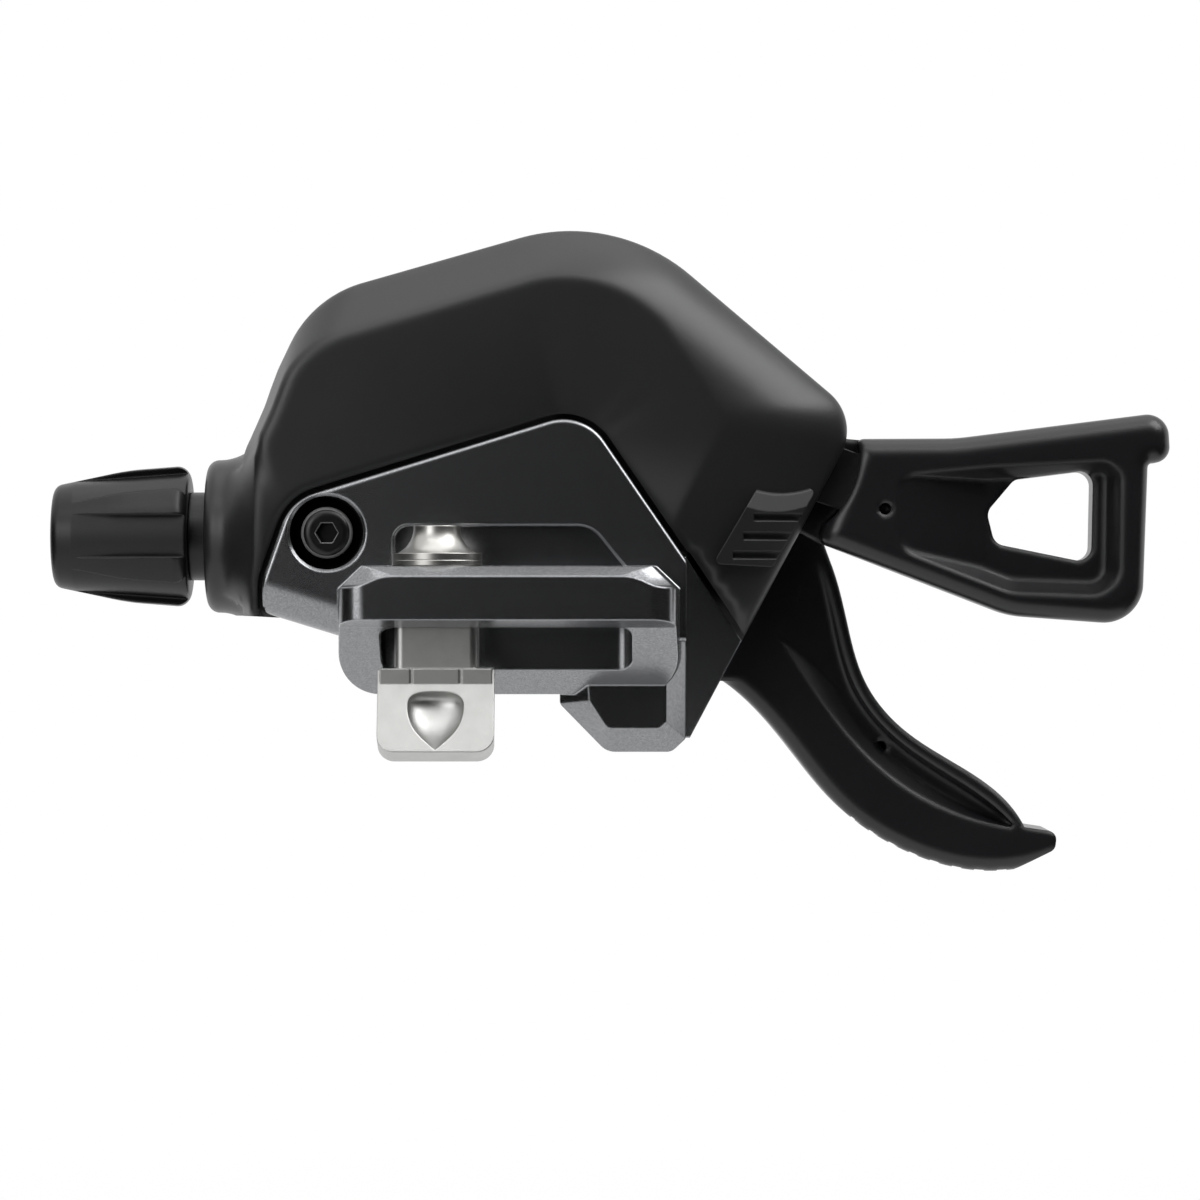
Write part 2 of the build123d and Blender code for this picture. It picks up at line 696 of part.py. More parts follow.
def rail():
    """Rail that the clamp slides along."""
    nose_view = rail_view(RAIL_DRAFT + RAIL_NOSE_IN, RAIL_BEVEL_DROP, RAIL_NOSE_CUT, True)
    nose = front_plane(-RAIL_FRONT) * nose_view
    shoulder = front_plane(-RAIL_FRONT + RAIL_BEVEL) * rail_view(RAIL_DRAFT, 0, RAIL_CUT, False)
    root = front_plane(BRACKET_BACK_Y) * rail_view(0, 0, RAIL_CUT, False)
    body = loft([nose, shoulder], ruled=True) + loft([shoulder, root], ruled=True)
    side = Plane((RAIL_LEFT, 0, 0), x_dir=(0, 1, 0), z_dir=(1, 0, 0))
    body &= extrude(side * polygon(rail_section()), amount=RAIL_RIGHT - RAIL_LEFT)
    plan = outline([
        (RAIL_LEFT + RAIL_DRAFT, -RAIL_FRONT, RAIL_FRONT_ROUND),
        (RAIL_RIGHT - RAIL_DRAFT, -RAIL_FRONT, RAIL_FRONT_ROUND),
        (RAIL_RIGHT, BRACKET_BACK_Y, 0),
        (RAIL_LEFT, BRACKET_BACK_Y, 0),
    ])
    return body & extrude(Pos(0, 0, -RAIL_DROP) * plan, amount=RAIL_DROP)


def plate():
    """Front plate of the bracket, with rounded edges and a full round below the screw."""
    body = slab(outline(BRACKET_RIM), BRACKET_FACE_Y, BRACKET_BACK_Y)
    face = body.faces().sort_by(Axis.Y)[0]
    corner = BRACKET_RIM[4][1]
    rounded = [edge for edge in face.edges() if edge.center().Z > corner or edge.center().X < RAIL_LEFT]
    body = fillet(rounded, PLATE_ROUND)
    depth = BRACKET_FACE_Y + LOW_ROUND
    first = Vector(BRACKET_RIM[0][0], depth, BRACKET_RIM[0][1])
    last = Vector(BRACKET_RIM[-1][0], depth, BRACKET_RIM[-1][1])
    along = (last - first).normalized()
    below = Vector(along.Z, 0, -along.X)
    section = Plane(first - below * LOW_ROUND, x_dir=below, z_dir=along)
    corner = Pos(OVERSIZE / 2, -OVERSIZE / 2) * Rectangle(OVERSIZE, OVERSIZE) - Circle(LOW_ROUND)
    return body - extrude(section * corner, amount=OVERSIZE, both=True)


def bracket():
    """Cast bracket with rail, flank and foot."""
    body = plate() + foot() + flank() + rail()
    slot = RectangleRounded(SLOT_RIGHT - SLOT_LEFT, SLOT_WIDTH, SLOT_ROUND)
    body -= extrude(Pos((SLOT_LEFT + SLOT_RIGHT) / 2, 0, -RAIL_DROP) * slot, amount=2 * RAIL_DROP)
    pocket = outline([
        (POCKET_LEFT, 0, 0),
        (POCKET_LEFT, POCKET_TOP, POCKET_ROUND / 2),
        (POCKET_RIGHT - POCKET_LEAN, POCKET_TOP, POCKET_ROUND),
        (POCKET_RIGHT, 0, 0),
    ])
    body -= slab(pocket, BRACKET_FACE_Y, BRACKET_FACE_Y + POCKET_DEPTH)
    body -= rod(SCREW_X, SCREW_Z, SCREW_SEAT_R, BRACKET_FACE_Y, BRACKET_FACE_Y + SCREW_SEAT)
    rim = Pos(SCREW_X, SCREW_Z) * Circle(SCREW_SEAT_R + SCREW_SEAT_BEVEL)
    body -= extrude(front_plane(BRACKET_FACE_Y) * rim, amount=-2 * SCREW_SEAT_BEVEL, taper=45)
    return body - rod(SCREW_X, SCREW_Z, SCREW_R, BRACKET_FACE_Y, BRACKET_BACK_Y)


def bracket_screw():
    """Button head screw that holds the bracket to the base plate."""
    seat = BRACKET_FACE_Y + SCREW_SEAT
    head = rod(SCREW_X, SCREW_Z, SCREW_HEAD_R, seat - SCREW_HEAD, seat)
    head = fillet(head.faces().sort_by(Axis.Y)[0].edges(), SCREW_HEAD_ROUND)
    key = Pos(SCREW_X, SCREW_Z) * RegularPolygon(SCREW_HEX / 2, 6, major_radius=False)
    head -= slab(key, seat - SCREW_HEAD, seat - SCREW_HEAD + SCREW_KEY)
    return head + rod(SCREW_X, SCREW_Z, SCREW_R, seat, seat + SCREW_LENGTH)


# Clamp


def clamp_boss():
    """Turned boss with the tapped hole, seated on its washer."""
    foot = CLAMP_WASHER + CLAMP_FLANGE
    top = foot + CLAMP_CONE
    lathe = Plane.XZ
    with_flank = make_face(
        Polyline(
            (CLAMP_CONE_R, foot),
            (CLAMP_FLANGE_R, foot),
            (CLAMP_FLANGE_R, CLAMP_WASHER),
            (CLAMP_SPIGOT_R, CLAMP_WASHER),
            (CLAMP_SPIGOT_R, -CLAMP_SPIGOT),
            (CLAMP_TAP_R, -CLAMP_SPIGOT),
            (CLAMP_TAP_R, top),
            (CLAMP_TOP_R, top),
        )
        + ThreePointArc(
            (CLAMP_TOP_R, top),
            ((CLAMP_TOP_R + CLAMP_CONE_R) / 2 - CLAMP_HOLLOW, (foot + top) / 2 - CLAMP_HOLLOW),
            (CLAMP_CONE_R, foot),
        )
    )
    return revolve(lathe * with_flank, axis=Axis.Z)


def clamp_washer():
    """Washer between the boss and the rail."""
    ring = Circle(CLAMP_FLANGE_R) - Circle(CLAMP_SPIGOT_R)
    return extrude(Pos(0, 0, RUNNING_GAP) * ring, amount=CLAMP_WASHER - RUNNING_GAP)


def tab_groove():
    """Finger groove with a round head and a pointed tail, about Z with its widest place at the origin."""
    crown = (0, CLAMP_GROOVE_RISE)
    tail = (0, -CLAMP_GROOVE_TAIL)
    waist = (CLAMP_GROOVE_R, 0)
    head = Spline(crown, waist, tangents=[(1, 0), (0, -1)])
    flank_line = Spline(waist, tail, tangents=[(0, -1), (-1, -1)])
    turned = revolve(Plane.XZ * make_face(head + flank_line + Line(tail, crown)), axis=Axis.Z)
    return scale(turned, by=(1, CLAMP_GROOVE_DEPTH / CLAMP_GROOVE_R, 1))


def clamp_tab():
    """Hanging tab with its finger groove, front face at y = 0 and top edge at z = 0."""
    half = CLAMP_TAB_WIDTH / 2
    view = outline([
        (-half, CLAMP_PLATE, 0),
        (half, CLAMP_PLATE, 0),
        (half, -CLAMP_TAB_DROP, CLAMP_TAB_ROUND),
        (-half, -CLAMP_TAB_DROP, CLAMP_TAB_ROUND),
    ])
    return slab(view, 0, CLAMP_TAB) - Pos(0, 0, -CLAMP_GROOVE_TOP - CLAMP_GROOVE_RISE) * tab_groove()


def clamp_nut():
    """Nut with its shank in the slot, a hook under the rail and a hanging tab."""
    slope = (RAIL_DROP - RAIL_KNEE) / (RAIL_TOE_Y + SLOT_WIDTH / 2)
    low = CLAMP_PLATE_TOP - CLAMP_PLATE
    front = -CLAMP_SHANK_DEPTH / 2 - CLAMP_PLATE_LAP
    heel = (-CLAMP_PLATE_TOP - RAIL_KNEE - SIDE_GAP) / slope - SLOT_WIDTH / 2
    toe = BRACKET_FACE_Y - SIDE_GAP
    drop = (toe - heel) * slope
    side = Plane((-CLAMP_PLATE_WIDTH / 2, 0, 0), x_dir=(0, 1, 0), z_dir=(1, 0, 0))
    hook = polygon([
        (front, CLAMP_PLATE_TOP),
        (heel, CLAMP_PLATE_TOP),
        (toe, CLAMP_PLATE_TOP - drop),
        (toe, low - drop),
        (heel, low),
        (front, low),
    ])
    body = extrude(side * hook, amount=CLAMP_PLATE_WIDTH)
    post = Pos(0, 0, CLAMP_PLATE_TOP) * RectangleRounded(CLAMP_SHANK, CLAMP_SHANK_DEPTH, CLAMP_SHANK_ROUND)
    body += extrude(post, amount=-CLAMP_PLATE_TOP - SIDE_GAP)
    body += Pos(0, front, low) * Rot(-CLAMP_TAB_LEAN, 0, 0) * clamp_tab()
    for x in (-CLAMP_NOTCH_X, CLAMP_NOTCH_X):
        body -= Pos(x, front, CLAMP_PLATE_TOP) * Box(CLAMP_NOTCH, CLAMP_NOTCH, 2 * CLAMP_PLATE)
    return body - Pos(0, 0, -SIDE_GAP) * Cylinder(CLAMP_SPIGOT_R, 2 * CLAMP_SPIGOT)


# Cable adjuster


def adjuster_barrel():
    """Fluted barrel that turns the adjuster bolt."""
    back = BARREL_BACK_X
    front = BARREL_BACK_X - BARREL_LENGTH
    body = cable_turned([
        (front, 0, 0),
        (front, BARREL_NOSE_R, BARREL_NOSE_ROUND),
        (front + BARREL_WAIST, BARREL_WAIST_R, BARREL_BEND),
        (back, BARREL_R, BARREL_EDGE),
        (back, 0, 0),
    ])
    core = cable_turned([
        (front, 0, 0),
        (front + FLUTE_START, FLUTE_START_R, 0),
        (back, FLUTE_END_R, 0),
        (back, 0, 0),
    ])
    length = BARREL_LENGTH - FLUTE_START
    middle = front + FLUTE_START + length / 2
    step = 360 / BARREL_FLUTES
    for index in range(BARREL_FLUTES):
        flute = Pos(middle, 0, BARREL_R) * Box(length, FLUTE_WIDTH, BARREL_R)
        body -= Pos(0, CABLE_Y, CABLE_Z) * Rot(index * step + step / 2, 0, 0) * flute - core
    return body - cable_rod(BOLT_R, front, back)


def adjuster_bolt():
    """Hollow bolt: seat for the casing's ferrule, bore for the inner cable."""
    left = BARREL_BACK_X - BARREL_LENGTH + BOLT_INSET
    right = BARREL_BACK_X + BOLT_REACH
    body = cable_rod(BOLT_R, left, right)
    body -= cable_rod(FERRULE_R, left, left + FERRULE_DEPTH)
    return body - cable_rod(CABLE_BORE_R, left, right)


def adjuster_sleeve():
    """Sleeve that slides in the collar behind the barrel and carries the clicks."""
    left = BARREL_BACK_X + RUNNING_GAP
    body = cable_rod(SLEEVE_R, left, left + SLEEVE_LENGTH)
    return body - cable_rod(BOLT_R + RUNNING_GAP, left, left + SLEEVE_LENGTH)


def adjuster_spring():
    """Spring between the sleeve and the floor of the collar."""
    start = BARREL_BACK_X + RUNNING_GAP + SLEEVE_LENGTH + ADJUSTER_WIRE / 2
    room = BOSS_FLOOR_X - start - ADJUSTER_WIRE / 2 - ADJUSTER_PLAY
    wound = coil((BOLT_R + SLEEVE_R) / 2, ADJUSTER_WIRE, room / ADJUSTER_TURNS, ADJUSTER_TURNS)
    return Pos(start, CABLE_Y, CABLE_Z) * Rot(0, 90, 0) * wound


# Drum and wheels


def toothed(radius, root, first_angle, notches):
    """Front view of a wheel with notches at the tooth pitch."""
    face = Pos(AXLE_X, AXLE_Z) * Circle(radius)
    for index in notches:
        wedge = polygon([
            (root, -NOTCH_HALF),
            (radius + NOTCH_MOUTH_HALF, -NOTCH_MOUTH_HALF),
            (radius + NOTCH_MOUTH_HALF, NOTCH_MOUTH_HALF),
            (root, NOTCH_HALF),
        ])
        face -= Pos(AXLE_X, AXLE_Z) * Rot(0, 0, first_angle - index * TOOTH_PITCH) * wedge
    return face - Pos(AXLE_X, AXLE_Z) * Circle(HUB_R)


def index_wheel():
    """Steel wheel whose notches hold each gear."""
    notches = range(SHIFTS + 1)
    return slab(toothed(INDEX_R, INDEX_ROOT_R, HOLD_TOOTH_ANGLE, notches), INDEX_FRONT_Y, INDEX_BACK_Y)


def feed_wheel():
    """Steel wheel that the thumb lever's pawl drives."""
    stroke = round(LEVER_STROKE / TOOTH_PITCH)
    notches = range(-stroke, SHIFTS + 1)
    return slab(toothed(FEED_R, FEED_ROOT_R, FEED_TOOTH_ANGLE, notches), DRUM_BACK_Y, FEED_BACK_Y)


def cable_drum():
    """Moulded drum with the cable groove and the pocket for the cable's nipple."""
    body = rod(AXLE_X, AXLE_Z, DRUM_R, INDEX_BACK_Y, DRUM_BACK_Y)
    groove = rod(AXLE_X, AXLE_Z, DRUM_R + DRUM_GROOVE, CABLE_Y - DRUM_GROOVE / 2, CABLE_Y + DRUM_GROOVE / 2)
    groove -= rod(AXLE_X, AXLE_Z, DRUM_GROOVE_R, INDEX_BACK_Y, DRUM_BACK_Y)
    body -= groove
    hub = rod(AXLE_X, AXLE_Z, HUB_R, INDEX_FRONT_Y, FEED_BACK_Y)
    body += hub
    nipple_x, nipple_z = about_axle(DRUM_GROOVE_R - NIPPLE_IN, NIPPLE_ANGLE)
    body -= rod(nipple_x, nipple_z, NIPPLE_R, CABLE_Y - DRUM_GROOVE / 2, DRUM_BACK_Y)
    return body - rod(AXLE_X, AXLE_Z, AXLE_R + BUSH_WALL, INDEX_FRONT_Y, FEED_BACK_Y)


def drum_bush():
    """Plain bearing in the drum."""
    body = rod(AXLE_X, AXLE_Z, AXLE_R + BUSH_WALL, INDEX_FRONT_Y, FEED_BACK_Y)
    return body - rod(AXLE_X, AXLE_Z, AXLE_R + RUNNING_GAP, INDEX_FRONT_Y, FEED_BACK_Y)


def drum_spring():
    """Flat wound spring that turns the drum back, in half turns of growing radius."""
    half = DRUM_SPRING_PITCH / 2
    face = None
    for turn in range(2 * DRUM_SPRING_TURNS):
        side = 1 if turn % 2 == 0 else -1
        near = AXLE_FLANGE_R + DRUM_SPRING_CLEAR + half * turn
        far = near + half
        arc = ThreePointArc((near * side, 0), (0, (near + far) / 2 * side), (-far * side, 0))
        strip = trace(arc, line_width=DRUM_SPRING_STRIP)
        face = strip if face is None else face + strip
    front = BASE_BACK_Y + SIDE_GAP
    return slab(Pos(AXLE_X, AXLE_Z) * face, front, INDEX_FRONT_Y - SIDE_GAP)


# Axle and base plate


def hold_pivot():
    """Pivot of the holding pawl, square to the tooth so that it lifts straight out."""
    tooth = about_axle((INDEX_R + INDEX_ROOT_R) / 2, HOLD_TOOTH_ANGLE)
    turn = math.radians(HOLD_TOOTH_ANGLE)
    return (tooth[0] + HOLD_ARM * math.sin(turn), tooth[1] - HOLD_ARM * math.cos(turn))


def base_plate():
    """Steel plate that carries the axle and the pivots."""
    body = slab(outline(BASE_RIM), BASE_FRONT_Y, BASE_BACK_Y)
    body -= rod(AXLE_X, AXLE_Z, AXLE_R, BASE_FRONT_Y, BASE_BACK_Y)
    body -= rod(RELEASE_X, RELEASE_Z, RELEASE_PIN_R, BASE_FRONT_Y, BASE_BACK_Y)
    hold_x, hold_z = hold_pivot()
    body -= rod(hold_x, hold_z, PAWL_PIN_R, BASE_FRONT_Y, BASE_BACK_Y)
    return body - rod(SCREW_X, SCREW_Z, SCREW_R, BASE_FRONT_Y, BASE_BACK_Y)


def main_axle():
    """Axle pressed into the base plate, with a thread for the nut at the back."""
    body = rod(AXLE_X, AXLE_Z, AXLE_R, BASE_FRONT_Y, REAR_INSIDE_Y)
    body += rod(AXLE_X, AXLE_Z, AXLE_FLANGE_R - SIDE_GAP, BASE_BACK_Y, INDEX_FRONT_Y - SIDE_GAP)
    return body + rod(AXLE_X, AXLE_Z, AXLE_THREAD_R, REAR_INSIDE_Y, REAR_BACK_Y + WASHER + NUT_HEIGHT)


def axle_washer():
    """Washer under the axle nut."""
    body = rod(AXLE_X, AXLE_Z, WASHER_R, REAR_BACK_Y, REAR_BACK_Y + WASHER)
    return body - rod(AXLE_X, AXLE_Z, AXLE_THREAD_R, REAR_BACK_Y, REAR_BACK_Y + WASHER)


def axle_nut():
    """Hexagon nut on the axle."""
    seat = REAR_BACK_Y + WASHER
    hexagon = Pos(AXLE_X, AXLE_Z) * RegularPolygon(NUT_FLATS / 2, 6, major_radius=False)
    body = slab(hexagon, seat, seat + NUT_HEIGHT)
    return body - rod(AXLE_X, AXLE_Z, AXLE_THREAD_R, seat, seat + NUT_HEIGHT)


# Main lever


def blade_view():
    """Front view of the thumb lever's moulded blade."""
    tip = FilletPolyline(*BLADE_TIP, radius=BLADE_TIP_ROUND)
    return make_face(Spline(*BLADE_UPPER) + tip + Spline(*BLADE_PAD) + Polyline(*BLADE_ROOT))


def drawn_in(points, others, share):
    """Points moved towards their partners on the facing edge."""
    pairs = zip(points, reversed(others))
    return [(x + share * (ox - x), z + share * (oz - z)) for (x, z), (ox, oz) in pairs]


def blade_dish(start, end):
    """Hollow between the blade's rim and ridge, with sloped walls, run out towards the root."""
    sections = []
    for depth, rim_in, ridge_in in ((start, 0, 0), (end, BLADE_RIM_IN, BLADE_RIDGE_IN)):
        rim = drawn_in(BLADE_RIM, BLADE_RIDGE, rim_in)
        ridge = drawn_in(BLADE_RIDGE, BLADE_RIM, ridge_in)
        view = make_face(Spline(*rim) + Line(rim[-1], ridge[0]) + Spline(*ridge) + Line(ridge[-1], rim[0]))
        sections.append(front_plane(depth) * view)
    rim_end = Vector(BLADE_RIM[0][0], start, BLADE_RIM[0][1])
    ridge_end = Vector(BLADE_RIDGE[-1][0], start, BLADE_RIDGE[-1][1])
    across = (rim_end - ridge_end).normalized()
    lean = math.atan2(abs(end - start), BLADE_RUN_OUT)
    deeper = math.copysign(math.cos(lean), end - start)
    away = Vector(-across.Z * math.sin(lean), deeper, across.X * math.sin(lean))
    return loft(sections, ruled=True) - beyond(Plane(ridge_end, x_dir=across, z_dir=away))


def main_lever():
    """Moulded thumb blade with a ribbed pad on its underside."""
    front = BLADE_FRONT_Y
    back = BLADE_FRONT_Y + BLADE_DEPTH
    body = slab(blade_view(), front, back)
    pad = Spline(*BLADE_PAD)
    upper = Spline(*BLADE_UPPER)
    for depth in (front, back):
        low = pad @ 0.5
        high = upper @ 0.5
        body = fillet(edges_by(body, [(low.X, depth, low.Y)]), BLADE_PAD_ROUND)
        body = fillet(edges_by(body, [(high.X, depth, high.Y)]), BLADE_RIM_ROUND)
    floor = front + BLADE_FRONT_DISH
    body -= blade_dish(front, floor)
    body -= blade_dish(back, back - BLADE_REAR_DISH)
    for index in range(GRIP_TEETH):
        at = pad @ ((index + 0.5) / GRIP_TEETH / 2)
        body -= rod(at.X, at.Y, GRIP_GROOVE_R, front + GRIP_MARGIN, back - GRIP_MARGIN)
    body -= rod(BLADE_HOLE_X, BLADE_HOLE_Z, BLADE_HOLE_R, floor, floor + BLADE_HOLE)
    return body - slab(lever_arm_view(), ARM_FRONT_Y, ARM_BACK_Y)


def lever_arm_view():
    """Front view of the steel arm inside the thumb lever."""
    reach = about_axle(LEVER_ARM_REACH - LEVER_ARM_WIDTH / 2, LEVER_ARM_ANGLE)
    face = bar((AXLE_X, AXLE_Z), reach, LEVER_ARM_WIDTH)
    return face + Pos(AXLE_X, AXLE_Z) * Circle(LEVER_HUB_R)


def main_lever_arm():
    """Steel arm of the thumb lever, on the axle."""
    body = slab(lever_arm_view(), ARM_FRONT_Y, ARM_BACK_Y)
    body -= rod(AXLE_X, AXLE_Z, AXLE_R + RUNNING_GAP, ARM_FRONT_Y, ARM_BACK_Y)
    pin_x, pin_z = about_axle(FEED_PIVOT_R, FEED_PIVOT_ANGLE)
    return body - rod(pin_x, pin_z, PAWL_PIN_R, ARM_FRONT_Y, ARM_BACK_Y)


def lever_spring():
    """Torsion spring that brings the thumb lever back."""
    wire = LEVER_SPRING_WIRE * LEVER_SPRING_ROOM
    start = ARM_BACK_Y + SIDE_GAP + wire / 2
    wound = coil(LEVER_HUB_R - wire, wire, wire + 2 * RUNNING_GAP, LEVER_SPRING_TURNS)
    return Pos(AXLE_X, start, AXLE_Z) * Rot(-90, 0, 0) * wound


# Pawls


def pawl_tooth(angle, radius, root):
    """Front view of a pawl's tooth, pointing at the axle."""
    tooth = polygon([
        (root + TOOTH_GAP, -TOOTH_HALF),
        (radius + PAWL_BAR / 2, -TOOTH_ROOT_HALF),
        (radius + PAWL_BAR / 2, TOOTH_ROOT_HALF),
        (root + TOOTH_GAP, TOOTH_HALF),
    ])
    return Pos(AXLE_X, AXLE_Z) * Rot(0, 0, angle) * tooth


def feed_pawl():
    """Driving pawl, drawn swung clear of the wheel as it rests."""
    pivot = about_axle(FEED_PIVOT_R, FEED_PIVOT_ANGLE)
    shoulder = about_axle(FEED_R + PAWL_BAR / 2 + PAWL_STANDOFF, FEED_TOOTH_ANGLE)
    face = bar(pivot, shoulder, PAWL_BAR) + Pos(*pivot) * Circle(PAWL_HUB_R)
    face += pawl_tooth(FEED_TOOTH_ANGLE, FEED_R, FEED_ROOT_R)
    face -= Pos(*pivot) * Circle(PAWL_PIN_R + RUNNING_GAP)
    swung = Pos(*pivot) * Rot(0, 0, -FEED_LIFT) * Pos(-pivot[0], -pivot[1]) * face
    front = DRUM_BACK_Y + (WHEEL_PLATE - PAWL_PLATE) / 2
    return slab(swung, front, front + PAWL_PLATE)


def feed_pawl_pin():
    """Pin of the driving pawl, riveted in the lever's arm."""
    pin_x, pin_z = about_axle(FEED_PIVOT_R, FEED_PIVOT_ANGLE)
    front = DRUM_BACK_Y
    return rod(pin_x, pin_z, PAWL_PIN_R, front, ARM_BACK_Y + PAWL_SPRING_ROOM)


def holding_pawl():
    """Pawl that holds the drum, with a tail for the release lever."""
    pivot = hold_pivot()
    shoulder = about_axle(INDEX_R + PAWL_BAR / 2 + PAWL_STANDOFF, HOLD_TOOTH_ANGLE)
    face = bar(pivot, shoulder, PAWL_BAR) + Pos(*pivot) * Circle(PAWL_HUB_R)
    face += pawl_tooth(HOLD_TOOTH_ANGLE, INDEX_R, INDEX_ROOT_R)
    face += tail_bar(pivot, (RELEASE_X, RELEASE_Z), TAIL_LENGTH)
    face -= Pos(*pivot) * Circle(PAWL_PIN_R + RUNNING_GAP)
    return slab(face, INDEX_FRONT_Y, INDEX_FRONT_Y + PAWL_PLATE)


def tail_bar(start, target, length):
    """Finger from one pivot towards the other, to the right of the line between them."""
    run = Vector(target[0] - start[0], target[1] - start[1]).normalized()
    normal = Vector(run.Y, -run.X) * ((TAIL_BAR + TAIL_GAP) / 2)
    first = (start[0] + normal.X, start[1] + normal.Y)
    reach = length - TAIL_BAR / 2
    last = (first[0] + run.X * reach, first[1] + run.Y * reach)
    return bar(first, last, TAIL_BAR)


def holding_pawl_pin():
    """Pin of the holding pawl, in the base plate."""
    pin_x, pin_z = hold_pivot()
    body = rod(pin_x, pin_z, PAWL_PIN_R, BASE_FRONT_Y, INDEX_FRONT_Y + PAWL_PLATE)
    return body + rod(pin_x, pin_z, PAWL_PIN_HEAD_R, BASE_BACK_Y, INDEX_FRONT_Y - PAWL_SPRING_ROOM)


def pin_spring(pivot, pin_radius, front):
    """Small torsion spring on a pin."""
    wire = PAWL_SPRING_WIRE
    wound = coil(pin_radius + wire, wire, wire + RUNNING_GAP, PAWL_SPRING_TURNS)
    return Pos(pivot[0], front + wire / 2 + RUNNING_GAP, pivot[1]) * Rot(-90, 0, 0) * wound


def feed_pawl_spring():
    """Spring of the driving pawl, behind the lever's arm."""
    return pin_spring(about_axle(FEED_PIVOT_R, FEED_PIVOT_ANGLE), PAWL_PIN_R, ARM_BACK_Y)


def holding_pawl_spring():
    """Spring of the holding pawl, on the pin's shoulder."""
    return pin_spring(hold_pivot(), PAWL_PIN_R, INDEX_FRONT_Y - PAWL_SPRING_ROOM)


# Release lever


def release_arm_view():
    """Front view of the steel arm inside the release lever."""
    pivot = (RELEASE_X, RELEASE_Z)
    turn = math.radians(RELEASE_ARM_ANGLE)
    reach = RELEASE_ARM_REACH - RELEASE_ARM_WIDTH / 2
    end = (RELEASE_X + reach * math.cos(turn), RELEASE_Z + reach * math.sin(turn))
    face = bar(pivot, end, RELEASE_ARM_WIDTH) + Pos(*pivot) * Circle(RELEASE_HUB_R)
    return face + tail_bar(pivot, hold_pivot(), FINGER_LENGTH)


def release_arm():
    """Steel arm of the release lever, with the finger that lifts the holding pawl."""
    body = slab(release_arm_view(), INDEX_FRONT_Y, INDEX_FRONT_Y + PAWL_PLATE)
    bore = RELEASE_PIN_R + RELEASE_BUSH_WALL
    return body - rod(RELEASE_X, RELEASE_Z, bore, INDEX_FRONT_Y, INDEX_FRONT_Y + PAWL_PLATE)


def release_bush():
    """Plain bearing in the release arm."""
    back = INDEX_FRONT_Y + PAWL_PLATE
    body = rod(RELEASE_X, RELEASE_Z, RELEASE_PIN_R + RELEASE_BUSH_WALL, INDEX_FRONT_Y, back)
    return body - rod(RELEASE_X, RELEASE_Z, RELEASE_PIN_R + RUNNING_GAP, INDEX_FRONT_Y, back)


def release_pivot_pin():
    """Shouldered pin of the release lever, in the base plate."""
    end = INDEX_FRONT_Y + PAWL_PLATE + SIDE_GAP + WASHER
    body = rod(RELEASE_X, RELEASE_Z, RELEASE_PIN_R, BASE_FRONT_Y, end)
    shoulder = INDEX_FRONT_Y - PAWL_SPRING_ROOM
    return body + rod(RELEASE_X, RELEASE_Z, RELEASE_SHOULDER_R, BASE_BACK_Y, shoulder)


def release_spring():
    """Spring that brings the release lever back."""
    return pin_spring((RELEASE_X, RELEASE_Z), RELEASE_PIN_R, INDEX_FRONT_Y - PAWL_SPRING_ROOM)


def release_clip():
    """Clip that keeps the release arm on its pin."""
    front = INDEX_FRONT_Y + PAWL_PLATE + SIDE_GAP
    ring = Circle(RELEASE_HUB_R - 2 * SIDE_GAP) - Circle(RELEASE_PIN_R)
    ring -= Pos(0, -RELEASE_HUB_R) * Rectangle(RELEASE_PIN_R, 2 * RELEASE_HUB_R - RELEASE_PIN_R)
    return slab(Pos(RELEASE_X, RELEASE_Z) * ring, front, front + WASHER / 2)


def release_dish():
    """Hollow of the release lever, shallow at the root and deep round the window."""
    front = RELEASE_FRONT_Y
    deep = front + RELEASE_DISH
    view = front_plane(front) * outline(RELEASE_DISH_RIM)
    hollow = extrude(view, amount=-RELEASE_DISH, taper=RELEASE_DISH_TAPER)
    ramp = polygon([
        (RELEASE_DISH_LEFT, front),
        (RELEASE_DISH_LEFT + RELEASE_DISH_RUN, deep),
        (RELEASE_DISH_LEFT - RELEASE_DISH_RUN, deep),
    ])
    return hollow - extrude(Pos(0, 0, -OVERSIZE / 2) * ramp, amount=OVERSIZE)


def release_lever():
    """Moulded release lever with a finger window."""
    front = RELEASE_FRONT_Y
    back = RELEASE_FRONT_Y + RELEASE_DEPTH
    body = slab(outline(RELEASE_RIM), front, back)
    for face in (body.faces().sort_by(Axis.Y)[0], body.faces().sort_by(Axis.Y)[-1]):
        body = fillet(edges_by(body, [face.edges().sort_by(Axis.X)[-1].center()]), RELEASE_ROUND)
    body -= rod(RELEASE_X, RELEASE_Z, RELEASE_STEP_R, front, back)
    body += slab(outline(RELEASE_TONGUE), INDEX_FRONT_Y + PAWL_PLATE, back)
    body -= release_dish()
    body -= slab(outline(RELEASE_WINDOW), front, back)
    body -= rod(RELEASE_HOLE_X, RELEASE_HOLE_Z, RELEASE_HOLE_R, front, front + RELEASE_HOLE)
    return body - slab(release_arm_view(), INDEX_FRONT_Y, INDEX_FRONT_Y + PAWL_PLATE)


def save(node, shape):
    """Write one piece under its own name."""
    export_step(shape, f"parts/{node}.step")


